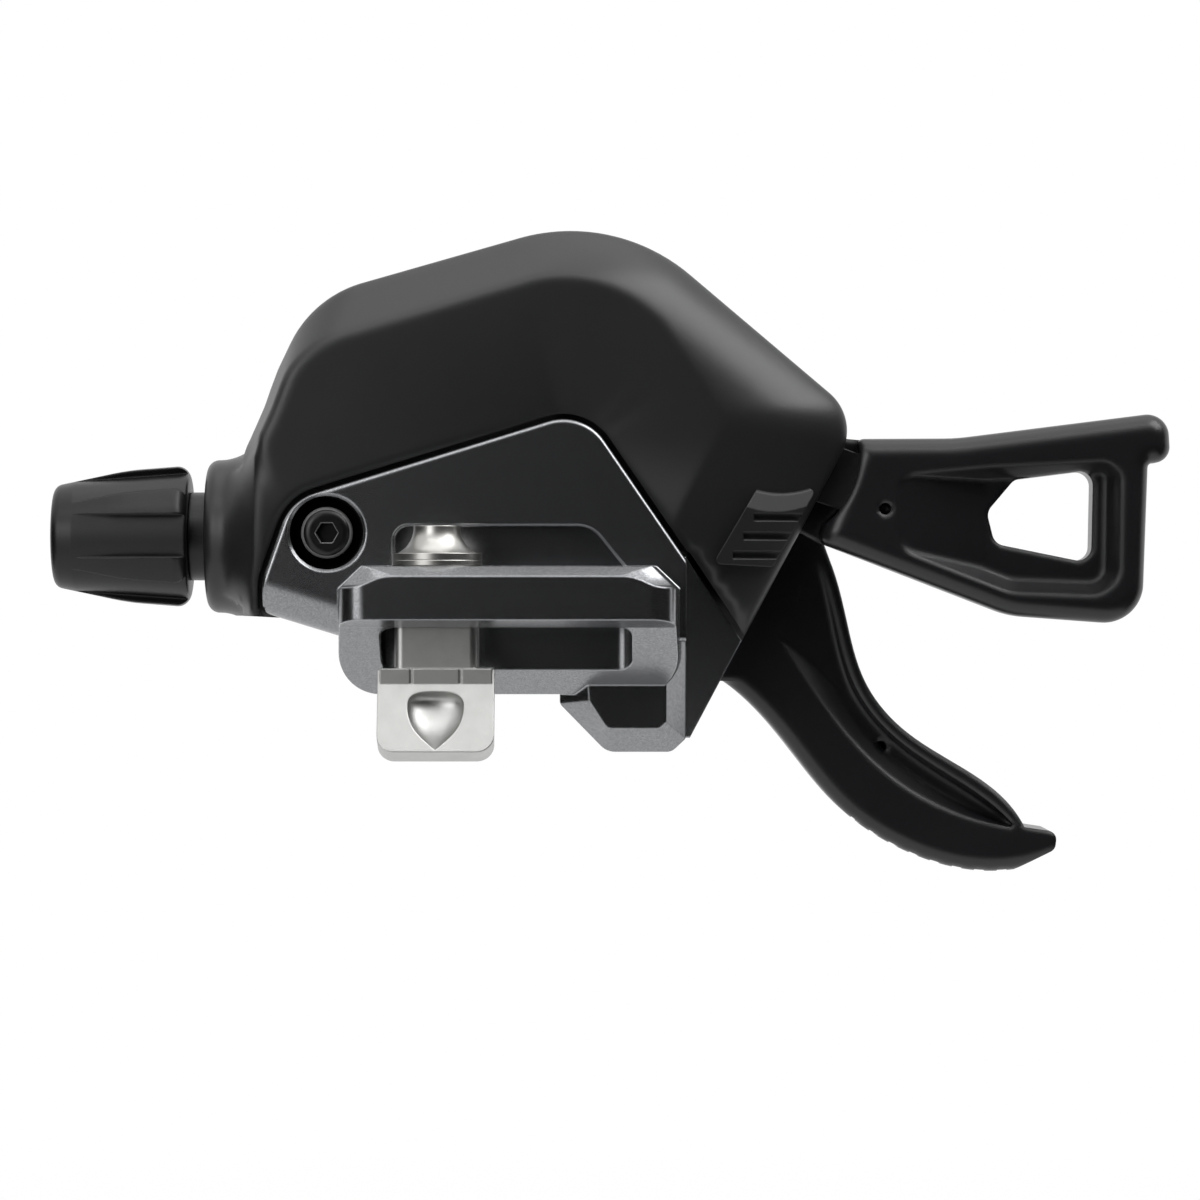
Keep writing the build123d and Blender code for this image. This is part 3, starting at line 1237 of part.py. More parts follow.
def main():
    """Build every piece and write it."""
    os.makedirs("parts", exist_ok=True)
    makers = [
        upper_cover,
        rear_cover,
        cover_screws,
        cable_port_cover,
        bracket,
        bracket_screw,
        clamp_boss,
        clamp_washer,
        clamp_nut,
        adjuster_barrel,
        adjuster_bolt,
        adjuster_sleeve,
        adjuster_spring,
        index_wheel,
        feed_wheel,
        cable_drum,
        drum_bush,
        drum_spring,
        base_plate,
        main_axle,
        axle_washer,
        axle_nut,
        main_lever,
        main_lever_arm,
        lever_spring,
        feed_pawl,
        feed_pawl_pin,
        feed_pawl_spring,
        holding_pawl,
        holding_pawl_pin,
        holding_pawl_spring,
        release_arm,
        release_bush,
        release_pivot_pin,
        release_clip,
        release_spring,
        release_lever,
    ]
    for maker in makers:
        save(maker.__name__, maker())


if __name__ == "__main__":
    main()
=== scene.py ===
"""Looks for the trigger gear shifter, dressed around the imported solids.

Everything is in metres, in the part's own frame: X along the handlebar, Y back through the housing, Z up.
A size whose name ends in _mm is in millimetres.
"""

import logging
import math
from dataclasses import dataclass, field
from enum import Enum
from typing import Any

import bmesh
import bpy
import numpy as np
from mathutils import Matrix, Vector


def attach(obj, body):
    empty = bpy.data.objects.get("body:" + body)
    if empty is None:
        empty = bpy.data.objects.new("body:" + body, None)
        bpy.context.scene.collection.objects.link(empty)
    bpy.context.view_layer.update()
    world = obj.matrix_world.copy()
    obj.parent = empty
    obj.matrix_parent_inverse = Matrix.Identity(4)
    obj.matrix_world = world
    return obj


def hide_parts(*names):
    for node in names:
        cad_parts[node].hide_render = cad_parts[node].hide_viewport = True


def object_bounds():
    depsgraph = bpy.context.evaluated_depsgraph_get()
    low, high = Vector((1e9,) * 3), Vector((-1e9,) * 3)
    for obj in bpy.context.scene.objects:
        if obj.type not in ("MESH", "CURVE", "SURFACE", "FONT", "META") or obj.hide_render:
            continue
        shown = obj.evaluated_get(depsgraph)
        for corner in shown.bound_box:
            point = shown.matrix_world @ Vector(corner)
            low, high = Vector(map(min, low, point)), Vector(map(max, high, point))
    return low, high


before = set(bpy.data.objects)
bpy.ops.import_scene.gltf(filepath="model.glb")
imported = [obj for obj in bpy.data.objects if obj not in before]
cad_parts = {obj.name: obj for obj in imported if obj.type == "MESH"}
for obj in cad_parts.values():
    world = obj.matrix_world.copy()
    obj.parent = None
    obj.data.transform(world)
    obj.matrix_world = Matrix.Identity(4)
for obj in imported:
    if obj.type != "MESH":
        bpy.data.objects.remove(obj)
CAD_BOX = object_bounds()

MM = 0.001

# Sockets of the colour mix node, which has the same names for numbers, vectors and colours
MIX_SHARE, MIX_FIRST, MIX_SECOND, MIX_RESULT = 0, 6, 7, 2

log = logging.getLogger("shifter")


def linear(code: str) -> tuple[float, float, float, float]:
    """Turn an sRGB hex colour into linear light.

    Args:
        code: six hex digits after a hash sign.

    Returns:
        Red, green, blue and an alpha of one.
    """
    srgb = np.array([int(code[i : i + 2], 16) for i in (1, 3, 5)]) / 255
    light = np.where(srgb <= 0.04045, srgb / 12.92, ((srgb + 0.055) / 1.055) ** 2.4)
    return (*light.tolist(), 1.0)


def per_metre(size_mm: float) -> float:
    """Scale of a pattern whose features are the given size in millimetres."""
    return 1 / (size_mm * MM)


def ease(share: np.ndarray) -> np.ndarray:
    """Soft step: three times the square less twice the cube, flat at 0 and at 1."""
    held = np.clip(share, 0, 1)
    return held**2 * (3 - 2 * held)


def add_node(
    tree: bpy.types.NodeTree, kind: str, inputs: dict[Any, Any] | None = None, **settings: Any
) -> bpy.types.Node:
    """Add a node with its settings, values and links.

    Args:
        tree: the node tree.
        kind: Blender's name of the node type.
        inputs: socket name or number to a value, or to the output socket to link.
        settings: properties of the node.

    Returns:
        The new node.
    """
    node = tree.nodes.new(kind)
    for name, value in settings.items():
        setattr(node, name, value)
    for key, value in (inputs or {}).items():
        if isinstance(value, bpy.types.NodeSocket):
            tree.links.new(value, node.inputs[key])
        else:
            node.inputs[key].default_value = value
    return node


def mix_colours(
    tree: bpy.types.NodeTree, share: bpy.types.NodeSocket, first: Any, second: str
) -> bpy.types.NodeSocket:
    """Mix two colours.

    Args:
        tree: the node tree.
        share: socket with the share of the second colour.
        first: socket or linear value of the first colour.
        second: hex code of the second colour.

    Returns:
        The socket with the mixed colour.
    """
    sockets = {MIX_SHARE: share, MIX_FIRST: first, MIX_SECOND: linear(second)}
    return add_node(tree, "ShaderNodeMix", sockets, data_type="RGBA").outputs[MIX_RESULT]


def place_mesh(mesh: bpy.types.Mesh) -> bpy.types.Object:
    """Put a mesh into the scene as a piece at the origin, under its own name."""
    piece = bpy.data.objects.new(mesh.name, mesh)
    bpy.context.scene.collection.objects.link(piece)
    return piece


class Surface(Enum):
    """How a surface was made, which sets its pattern."""

    MOULDED = "moulded"
    FLAKED = "flaked"
    WORKED = "worked"


@dataclass(frozen=True)
class PaintedLightRing:
    """A ring of painted light on a face that looks along Y, painted shade in the bracket's screw seat and a
    painted highlight on the screw head's rim: its middle, its two radii and its colour.
    """

    x_mm: float
    z_mm: float
    inner_mm: float
    outer_mm: float
    colour: str


@dataclass(frozen=True)
class Finish:
    """One material: what it is, how it was made and what the eye gets from it."""

    name: str
    colour: str
    tint: str
    surface: Surface
    roughness: float
    spread: float
    grain_mm: float
    relief_mm: float
    mottle_mm: float = 6.0
    edge_mm: float = 0.2
    edge_samples: int = 8
    # Painted edge highlight: its strength, its colour, and how far the rounded normal turns before it starts and
    # is full
    edge_highlight: float = 0.0
    highlight_colour: str = "#808080"
    highlight_starts: float = 0.98
    highlight_full: float = 0.8
    metallic: float = 0.0
    ior: float = 1.5
    along: tuple[float, float, float] = (1.0, 1.0, 1.0)
    # Ring of painted light, if any: painted shade or a painted highlight in its own colour
    ring: PaintedLightRing | None = None
    grain_layers: float = 2.0
    mottle_layers: float = 4.0
    layer_share: float = 0.55
    bump: float = 0.6

    def noise(
        self, tree: bpy.types.NodeTree, place: bpy.types.NodeSocket, size_mm: float, layers: float
    ) -> bpy.types.NodeSocket:
        """Cloudy value from 0 to 1.

        Args:
            tree: the material's node tree.
            place: coordinates in metres.
            size_mm: size of the clouds.
            layers: number of finer layers.

        Returns:
            The socket with the value.
        """
        clouds = add_node(
            tree,
            "ShaderNodeTexNoise",
            {"Vector": place, "Scale": per_metre(size_mm), "Detail": layers, "Roughness": self.layer_share},
        )
        return clouds.outputs["Fac"]

    def tone(self, tree: bpy.types.NodeTree, place: bpy.types.NodeSocket) -> bpy.types.NodeSocket:
        """Value from 0 to 1 that the colour follows: one per flake in paint, else soft clouds."""
        if self.surface is not Surface.FLAKED:
            return self.noise(tree, place, self.mottle_mm, self.mottle_layers)
        flakes = add_node(tree, "ShaderNodeTexVoronoi", {"Vector": place, "Scale": per_metre(self.grain_mm)})
        return add_node(tree, "ShaderNodeSeparateColor", {"Color": flakes.outputs["Color"]}).outputs["Red"]

    def edge_highlight_share(self, tree: bpy.types.NodeTree, rounded: bpy.types.NodeSocket) -> bpy.types.NodeSocket:
        """Share of the painted edge highlight, which grows where the rounded normal leaves the surface's own.

        Args:
            tree: the material's node tree.
            rounded: normal that is rounded over the edges.

        Returns:
            The socket with the share.
        """
        own = add_node(tree, "ShaderNodeNewGeometry").outputs["Normal"]
        agree = add_node(tree, "ShaderNodeVectorMath", {0: rounded, 1: own}, operation="DOT_PRODUCT")
        share = add_node(
            tree,
            "ShaderNodeMapRange",
            {
                "Value": agree.outputs["Value"],
                "From Min": self.highlight_starts,
                "From Max": self.highlight_full,
                "To Max": self.edge_highlight,
            },
        )
        return share.outputs["Result"]

    def painted_ring_share(self, tree: bpy.types.NodeTree, place: bpy.types.NodeSocket) -> bpy.types.NodeSocket:
        """One within the painted light ring, else zero: the distance in X and Z is compared with its mean radius.

        Args:
            tree: the material's node tree.
            place: coordinates in metres.

        Returns:
            The socket with the share.
        """
        inner, outer = self.ring.inner_mm * MM, self.ring.outer_mm * MM
        middle = (self.ring.x_mm * MM, 0.0, self.ring.z_mm * MM)
        flat = add_node(tree, "ShaderNodeVectorMath", {0: place, 1: (1.0, 0.0, 1.0)}, operation="MULTIPLY")
        away = add_node(tree, "ShaderNodeVectorMath", {0: flat.outputs["Vector"], 1: middle}, operation="DISTANCE")
        inside = add_node(
            tree,
            "ShaderNodeMath",
            {0: away.outputs["Value"], 1: (inner + outer) / 2, 2: (outer - inner) / 2},
            operation="COMPARE",
        )
        return inside.outputs["Value"]

    def make(self) -> bpy.types.Material:
        """Build the node material.

        Returns:
            The finished material.
        """
        material = bpy.data.materials.new(self.name)
        material.use_nodes = True
        tree = material.node_tree
        tree.nodes.clear()
        place = add_node(tree, "ShaderNodeTexCoord").outputs["Object"]
        stretched = add_node(tree, "ShaderNodeMapping", {"Vector": place, "Scale": self.along})
        grain = self.noise(tree, stretched.outputs["Vector"], self.grain_mm, self.grain_layers)
        bevel = add_node(tree, "ShaderNodeBevel", {"Radius": self.edge_mm * MM}, samples=self.edge_samples)
        rounded = bevel.outputs["Normal"]
        base = mix_colours(tree, self.tone(tree, place), linear(self.colour), self.tint)
        # Lighten the edges towards the highlight colour: a painted highlight
        if self.edge_highlight:
            base = mix_colours(tree, self.edge_highlight_share(tree, rounded), base, self.highlight_colour)
        # Paint the ring's colour: painted shade in the screw seat, a painted highlight on the screw head
        if self.ring:
            base = mix_colours(tree, self.painted_ring_share(tree, place), base, self.ring.colour)
        rough = add_node(
            tree,
            "ShaderNodeMapRange",
            {"Value": grain, "To Min": self.roughness - self.spread, "To Max": self.roughness + self.spread},
        )
        bump = add_node(
            tree,
            "ShaderNodeBump",
            {"Strength": self.bump, "Distance": self.relief_mm * MM, "Height": grain, "Normal": rounded},
        )
        shader = add_node(
            tree,
            "ShaderNodeBsdfPrincipled",
            {
                "Base Color": base,
                "Roughness": rough.outputs["Result"],
                "Metallic": self.metallic,
                "IOR": self.ior,
                "Normal": bump.outputs["Normal"],
            },
        )
        add_node(tree, "ShaderNodeOutputMaterial", {"Surface": shader.outputs["BSDF"]})
        return material


# Glass filled nylon from a spark eroded mould: near black, an even fine grain and a dull sheen.
COVER_NYLON = Finish(
    "glass_filled_nylon_spark_grain",
    colour="#212122",
    tint="#272728",
    surface=Surface.MOULDED,
    roughness=0.36,
    spread=0.05,
    grain_mm=0.22,
    relief_mm=0.005,
    edge_mm=1.5,
)
# The same nylon from a finer mould on the levers: blacker, with soft rims that catch the light.
LEVER_NYLON = Finish(
    "glass_filled_nylon_fine_grain",
    colour="#18181a",
    tint="#1e1e20",
    surface=Surface.MOULDED,
    roughness=0.3,
    spread=0.05,
    grain_mm=0.2,
    relief_mm=0.005,
    edge_mm=1.0,
)
# Moulded acetal: black, waxy and slightly shiny.
ADJUSTER_ACETAL = Finish(
    "moulded_acetal_black",
    colour="#141415",
    tint="#19191a",
    surface=Surface.MOULDED,
    roughness=0.36,
    spread=0.05,
    grain_mm=0.25,
    relief_mm=0.003,
    edge_mm=0.3,
    ior=1.42,
)
# Moulded elastomer: black and flat, with little sheen.
PORT_ELASTOMER = Finish(
    "moulded_elastomer_black",
    colour="#18181a",
    tint="#1f1f20",
    surface=Surface.MOULDED,
    roughness=0.5,
    spread=0.05,
    grain_mm=0.3,
    relief_mm=0.004,
    edge_mm=0.25,
)
# Metallic paint on cast aluminium: grey flakes under a satin coat, dark ahead and bright towards the light, with a
# painted highlight on its edges.
# The seat round the screw is painted black as the shadow in its counterbore.
BRACKET_PAINT = Finish(
    "flake_paint_gunmetal",
    colour="#828385",
    tint="#97989a",
    surface=Surface.FLAKED,
    roughness=0.24,
    spread=0.04,
    grain_mm=0.12,
    relief_mm=0.0002,
    edge_mm=0.3,
    # Painted highlight on the bracket's edges
    edge_highlight=0.5,
    highlight_colour="#c4c6c9",
    metallic=0.96,
    # Painted shadow: the screw's seat is coloured near black
    ring=PaintedLightRing(x_mm=-11.2, z_mm=3.4, inner_mm=0.0, outer_mm=3.66, colour="#0b0b0c"),
)
# Hot blackened steel: nearly black with an oily shine, and a grey painted highlight on its edges.
BLACK_OXIDE = Finish(
    "black_oxide_steel",
    colour="#0e0e0f",
    tint="#151516",
    surface=Surface.WORKED,
    roughness=0.3,
    spread=0.05,
    grain_mm=0.4,
    relief_mm=0.001,
    edge_mm=0.16,
    # Painted highlight on the edges
    edge_highlight=0.7,
    highlight_colour="#a8a8a8",
    metallic=0.2,
)
# The same blackened steel on the bracket's screw, with a painted highlight on its edges and a bright painted
# highlight ring on its head's rim.
SCREW_OXIDE = Finish(
    "black_oxide_steel_painted_rim_highlight",
    colour="#0c0c0d",
    tint="#131314",
    surface=Surface.WORKED,
    roughness=0.3,
    spread=0.05,
    grain_mm=0.4,
    relief_mm=0.001,
    edge_mm=0.16,
    # Painted highlight on the screw's edges
    edge_highlight=0.8,
    highlight_colour="#b4b4b4",
    metallic=0.2,
    # Painted highlight: a bright ring on the rim of the screw's head
    ring=PaintedLightRing(x_mm=-11.2, z_mm=3.4, inner_mm=2.3, outer_mm=2.58, colour="#9a9a9a"),
)
# Tumbled stainless: bright, with a fine stony grain.
CLAMP_STAINLESS = Finish(
    "tumbled_stainless_sheet",
    colour="#b8b8b6",
    tint="#cececc",
    surface=Surface.WORKED,
    roughness=0.42,
    spread=0.04,
    grain_mm=0.35,
    relief_mm=0.0002,
    mottle_mm=2.0,
    metallic=1.0,
)
# Turned stainless: bright and satin, with faint turning rings.
BOSS_STAINLESS = Finish(
    "turned_stainless",
    colour="#b0afab",
    tint="#c2c1bd",
    surface=Surface.WORKED,
    roughness=0.34,
    spread=0.03,
    grain_mm=0.15,
    relief_mm=0.0002,
    mottle_mm=2.0,
    edge_mm=0.15,
    metallic=1.0,
    along=(0.04, 0.04, 1.0),
)
# Stamped steel with a zinc coat: grey and satin.
ZINC_STEEL = Finish(
    "zinc_coated_stamped_steel",
    colour="#9a9a98",
    tint="#b4b4b2",
    surface=Surface.WORKED,
    roughness=0.34,
    spread=0.06,
    grain_mm=0.5,
    relief_mm=0.001,
    metallic=1.0,
)
# Stamped steel with an electro coat: black and satin.
COATED_STEEL = Finish(
    "electro_coated_steel",
    colour="#131314",
    tint="#1a1a1b",
    surface=Surface.WORKED,
    roughness=0.4,
    spread=0.05,
    grain_mm=0.4,
    relief_mm=0.002,
)
# Drawn spring wire: grey with a drawn shine.
SPRING_WIRE = Finish(
    "drawn_spring_wire",
    colour="#8d8d8c",
    tint="#a9a9a7",
    surface=Surface.WORKED,
    roughness=0.28,
    spread=0.05,
    grain_mm=0.3,
    relief_mm=0.001,
    edge_mm=0.05,
    metallic=1.0,
)
# Moulded acetal in its grey grade.
DRUM_ACETAL = Finish(
    "moulded_acetal_grey",
    colour="#4a4a4c",
    tint="#57575a",
    surface=Surface.MOULDED,
    roughness=0.42,
    spread=0.05,
    grain_mm=0.3,
    relief_mm=0.003,
)
# Sintered bronze: brown gold, porous and dull.
SINTERED_BRONZE = Finish(
    "sintered_bronze",
    colour="#a57c3d",
    tint="#bf9552",
    surface=Surface.WORKED,
    roughness=0.38,
    spread=0.07,
    grain_mm=0.3,
    relief_mm=0.003,
    metallic=1.0,
)


@dataclass
class Palette:
    """Materials by finish, each made once."""

    made: dict[str, bpy.types.Material] = field(default_factory=dict)

    def material(self, finish: Finish) -> bpy.types.Material:
        """The material of a finish, made the first time it is asked for."""
        if finish.name not in self.made:
            self.made[finish.name] = finish.make()
        return self.made[finish.name]


@dataclass
class SubAssembly:
    """A group of the part's solids, with the detail that rides on them."""

    def finishes(self) -> dict[str, Finish]:
        """The finish of each solid."""
        return {}

    def build(self, palette: Palette) -> None:
        """Make the detail that the solids leave out; most groups have none."""

    def dress(self, palette: Palette) -> None:
        """Give each solid its material.

        Args:
            palette: the materials.
        """
        for node, finish in self.finishes().items():
            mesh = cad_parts[node].data
            mesh.materials.clear()
            mesh.materials.append(palette.material(finish))
            log.info("%s: %s", node, finish.name)


@dataclass
class Housing(SubAssembly):
    """The two covers, their screws and the port cap, with a front skin that flows into the collar."""

    # The solid's own sizes: front face, cable axis, collar radius and the flare that widens it
    face_mm: float = 7.5
    cable_y_mm: float = 19.0
    cable_z_mm: float = 3.2
    collar_mm: float = 7.8
    flare_mm: float = 4.2
    flare_left_mm: float = -22.7
    # The roll: how deep it goes, where it fades out upwards, and by height where it starts and how far it runs
    flow_deep_mm: float = 14.0
    flow_full_mm: float = 11.6
    flow_none_mm: float = 14.0
    flow_z_mm: tuple[float, ...] = (-5.0, -1.3, 3.0, 6.6, 9.0, 11.0, 12.5, 14.0)
    flow_x_mm: tuple[float, ...] = (-17.2, -17.2, -15.6, -15.3, -16.2, -17.2, -18.0, -18.0)
    flow_run_mm: tuple[float, ...] = (5.5, 5.5, 7.0, 7.0, 5.6, 4.0, 2.4, 1.6)
    # The cover's foot, where the roll only pushes back
    foot_mm: float = -4.6
    foot_run_mm: float = 1.2
    # The seam along the bracket, by height
    seam_z_mm: tuple[float, ...] = (-5.0, -1.3, 6.6, 20.0)
    seam_x_mm: tuple[float, ...] = (-18.25, -18.25, -15.45, -10.0)
    # How far the wall above the collar is drawn in, by height, and where that starts and is whole
    draw_z_mm: tuple[float, ...] = (11.0, 11.8, 12.5, 12.95, 14.0, 16.2, 18.0, 20.0)
    draw_x_mm: tuple[float, ...] = (0.0, 0.2, 0.45, 0.5, 0.5, 0.42, 0.2, 0.0)
    draw_from_mm: float = -12.0
    draw_full_mm: float = -18.0
    # The grid that the surface is cut into there
    cut_right_mm: float = -9.5
    cut_left_mm: float = -23.5
    cut_low_mm: float = -4.5
    cut_high_mm: float = 20.0
    cut_step_mm: float = 0.5
    # Slack of the tests and of the mesh work
    face_slack_mm: float = 0.02
    depth_slack_mm: float = 0.05
    weld_mm: float = 0.002
    snap_mm: float = 0.0001
    crease_deg: float = 28.0

    def finishes(self) -> dict[str, Finish]:
        """The finish of each solid."""
        return {
            "upper_cover": COVER_NYLON,
            "rear_cover": COVER_NYLON,
            "cover_screws": BLACK_OXIDE,
            "cable_port_cover": PORT_ELASTOMER,
        }

    def flow(self, points: np.ndarray) -> np.ndarray:
        """Let the front face roll back into the collar and draw in the wall above it.

        Left of a line along the seam, the depth goes by a soft step from the face to the flare's own round,
        cable_y - sqrt(radius^2 - (z - cable_z)^2), whose radius grows along a quarter circle from the collar's.
        The roll fades out above the collar, where the wall is drawn in, and at the foot it only pushes back, so
        that the lower edge keeps its round.

        Args:
            points: array of points by 3, in millimetres.

        Returns:
            The moved points.
        """
        x, y, z = points.T
        along = np.clip(x - self.flare_left_mm, 0, self.flare_mm)
        radius = self.collar_mm + self.flare_mm - np.sqrt(self.flare_mm**2 - along**2)
        height = z - self.cable_z_mm
        flare = self.cable_y_mm - np.sqrt(np.clip(radius**2 - height**2, 0, None))
        collar = self.cable_y_mm - np.sqrt(np.clip(self.collar_mm**2 - height**2, 0, None))
        start = np.interp(z, self.flow_z_mm, self.flow_x_mm)
        share = (start - x) / np.interp(z, self.flow_z_mm, self.flow_run_mm)
        rolled = self.face_mm + (np.minimum(flare, self.flow_deep_mm) - self.face_mm) * ease(share)
        pushed = np.maximum(y, rolled)
        rolled = pushed + (rolled - pushed) * ease((z - self.foot_mm) / self.foot_run_mm)
        fade = ease((self.flow_none_mm - z) / (self.flow_none_mm - self.flow_full_mm))
        past_seam = x < np.interp(z, self.seam_z_mm, self.seam_x_mm)
        on_face = np.abs(y - self.face_mm) < self.face_slack_mm
        deepest = np.minimum(collar, self.flow_deep_mm) + self.depth_slack_mm
        outside = (share > 0) & (share < 1) & (y < deepest) & (past_seam | on_face)
        near = ease((self.draw_from_mm - x) / (self.draw_from_mm - self.draw_full_mm))
        drawn = x + near * np.interp(z, self.draw_z_mm, self.draw_x_mm)
        return np.stack([drawn, np.where(outside, y + fade * (rolled - y), y), z], axis=1)

    def cut(self, shape: bmesh.types.BMesh) -> None:
        """Cut the surface left of the first column into a grid of columns in X and rows in Z.

        Args:
            shape: the surface, changed in place.
        """
        columns = np.arange(self.cut_right_mm, self.cut_left_mm, -self.cut_step_mm)
        rows = np.arange(self.cut_low_mm, self.cut_high_mm, self.cut_step_mm)
        cuts = [((1, 0, 0), (x, 0, 0)) for x in columns] + [((0, 0, 1), (0, 0, z)) for z in rows]
        reach = math.inf
        for normal, place in cuts:
            near = [face for face in shape.faces if face.calc_center_median().x < reach]
            edges = {edge for face in near for edge in face.edges}
            corners = {corner for face in near for corner in face.verts}
            bmesh.ops.bisect_plane(
                shape,
                geom=[*corners, *edges, *near],
                plane_co=Vector(place) * MM,
                plane_no=normal,
                dist=self.snap_mm * MM,
            )
            reach = self.cut_right_mm * MM

    def build(self, palette: Palette) -> None:
        """Make the front cover's skin: its solid's surface, cut into a fine grid near the collar and let flow.

        Args:
            palette: the materials.
        """
        shape = bmesh.new()
        shape.from_mesh(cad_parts["upper_cover"].data)
        bmesh.ops.remove_doubles(shape, verts=shape.verts, dist=self.weld_mm * MM)
        self.cut(shape)
        mesh = bpy.data.meshes.new("upper_cover_skin")
        shape.to_mesh(mesh)
        shape.free()
        points = np.empty(3 * len(mesh.vertices))
        mesh.vertices.foreach_get("co", points)
        mesh.vertices.foreach_set("co", self.flow(points.reshape(-1, 3) / MM).ravel() * MM)
        mesh.shade_smooth()
        mesh.set_sharp_from_angle(angle=math.radians(self.crease_deg))
        mesh.materials.clear()
        mesh.materials.append(palette.material(COVER_NYLON))
        piece = place_mesh(mesh)
        piece.modifiers.new("flat_faces", "WEIGHTED_NORMAL").keep_sharp = True
        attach(piece, "housing")
        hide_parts("upper_cover")
        log.info("%s: %d faces", piece.name, len(mesh.polygons))


@dataclass
class Bracket(SubAssembly):
    """The cast bracket and its screw."""

    def finishes(self) -> dict[str, Finish]:
        """The finish of each solid."""
        return {"bracket": BRACKET_PAINT, "bracket_screw": SCREW_OXIDE}


@dataclass
class Clamp(SubAssembly):
    """The sliding clamp: nut, washer and boss, with the thread in the boss."""

    bore_mm: float = 1.65
    thread_low_mm: float = -2.8
    thread_high_mm: float = 3.7
    pitch_mm: float = 0.7
    depth_mm: float = 0.22
    root_mm: float = 0.05
    flank: float = 0.45
    fade_turns: float = 0.5
    fade_low: float = 0.05
    steps: int = 40

    def finishes(self) -> dict[str, Finish]:
        """The finish of each solid."""
        return {"clamp_boss": BOSS_STAINLESS, "clamp_washer": BOSS_STAINLESS, "clamp_nut": CLAMP_STAINLESS}

    def thread(self) -> np.ndarray:
        """Rings of the thread in the boss.

        A triangle is carried up a helix: at turn t its foot lies on the bore at height low + pitch * t, and its
        crest stands in from the bore by the depth, which grows in the first half turn and fades in the last.

        Returns:
            Array of rings by three points by 3, in metres.
        """
        turns = (self.thread_high_mm - self.thread_low_mm) / self.pitch_mm
        turn = np.linspace(0, turns, int(turns * self.steps))
        fade = np.clip(np.minimum(turn, turns - turn) / self.fade_turns, self.fade_low, 1)
        wall = np.full_like(turn, self.bore_mm + self.root_mm)
        radius = np.stack([wall, self.bore_mm - self.depth_mm * fade, wall], axis=1)
        middle = self.thread_low_mm + self.pitch_mm * turn
        height = middle[:, None] + self.pitch_mm * np.array([self.flank, 0.0, -self.flank])
        angle = 2 * np.pi * turn[:, None]
        return np.stack([radius * np.cos(angle), radius * np.sin(angle), height], axis=-1) * MM

    def build(self, palette: Palette) -> None:
        """Make the thread in the boss's bore, a bar closed at both ends.

        Args:
            palette: the materials.
        """
        rings = self.thread()
        index = np.arange(rings[..., 0].size).reshape(rings.shape[:2])
        beside = np.roll(index, -1, axis=1)
        sides = np.stack([index[:-1], beside[:-1], beside[1:], index[1:]], axis=-1).reshape(-1, 4)
        ends = [index[0, ::-1].tolist(), index[-1].tolist()]
        mesh = bpy.data.meshes.new("clamp_boss_thread")
        mesh.from_pydata(rings.reshape(-1, 3).tolist(), [], sides.tolist() + ends)
        mesh.materials.append(palette.material(BOSS_STAINLESS))
        piece = place_mesh(mesh)
        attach(piece, "clamp")
        log.info("%s: %d faces", piece.name, len(mesh.polygons))


@dataclass
class Adjuster(SubAssembly):
    """The cable adjuster: barrel, bolt, sleeve and spring."""

    def finishes(self) -> dict[str, Finish]:
        """The finish of each solid."""
        return {
            "adjuster_barrel": ADJUSTER_ACETAL,
            "adjuster_bolt": COATED_STEEL,
            "adjuster_sleeve": ADJUSTER_ACETAL,
            "adjuster_spring": SPRING_WIRE,
        }


@dataclass
class Mechanism(SubAssembly):
    """The drum, its wheels, pawls, pins and springs, and the axle's washer and nut."""

    steel: tuple[str, ...] = (
        "index_wheel",
        "feed_wheel",
        "base_plate",
        "main_axle",
        "feed_pawl",
        "feed_pawl_pin",
        "holding_pawl",
        "holding_pawl_pin",
        "release_pivot_pin",
    )
    springs: tuple[str, ...] = (
        "drum_spring",
        "lever_spring",
        "feed_pawl_spring",
        "holding_pawl_spring",
        "release_spring",
        "release_clip",
    )

    def finishes(self) -> dict[str, Finish]:
        """The finish of each solid."""
        chosen = {node: ZINC_STEEL for node in self.steel}
        chosen |= {node: SPRING_WIRE for node in self.springs}
        chosen |= {"cable_drum": DRUM_ACETAL, "drum_bush": SINTERED_BRONZE, "release_bush": SINTERED_BRONZE}
        return chosen | {"axle_washer": BLACK_OXIDE, "axle_nut": BLACK_OXIDE}


@dataclass
class Levers(SubAssembly):
    """The thumb lever and the release lever with their arms."""

    def finishes(self) -> dict[str, Finish]:
        """The finish of each solid."""
        return {
            "main_lever": LEVER_NYLON,
            "main_lever_arm": COATED_STEEL,
            "release_lever": LEVER_NYLON,
            "release_arm": COATED_STEEL,
        }


def direction(azimuth: float, elevation: float) -> np.ndarray:
    """Unit vector from angles in degrees: azimuth from the viewer's side towards the right, elevation up."""
    turn, rise = math.radians(azimuth), math.radians(elevation)
    return np.array([math.sin(turn) * math.cos(rise), -math.cos(turn) * math.cos(rise), math.sin(rise)])


@dataclass
class Lamp:
    """A soft box, aimed at the part from two angles in degrees."""

    name: str
    azimuth: float
    elevation: float
    distance: float
    width: float
    height: float
    radiance: float

    def light(self, target: np.ndarray) -> None:
        """Put the lamp in the scene; its power is radiance times area times pi.

        Args:
            target: the point it is aimed at.
        """
        data = bpy.data.lights.new(self.name, "AREA")
        data.shape = "RECTANGLE"
        data.size = self.width
        data.size_y = self.height
        data.energy = self.radiance * self.width * self.height * math.pi
        lamp = bpy.data.objects.new(self.name, data)
        towards = direction(self.azimuth, self.elevation)
        lamp.location = target + self.distance * towards
        lamp.rotation_euler = Vector(-towards).to_track_quat("-Z", "Y").to_euler()
        lamp.visible_camera = False
        bpy.context.scene.collection.objects.link(lamp)


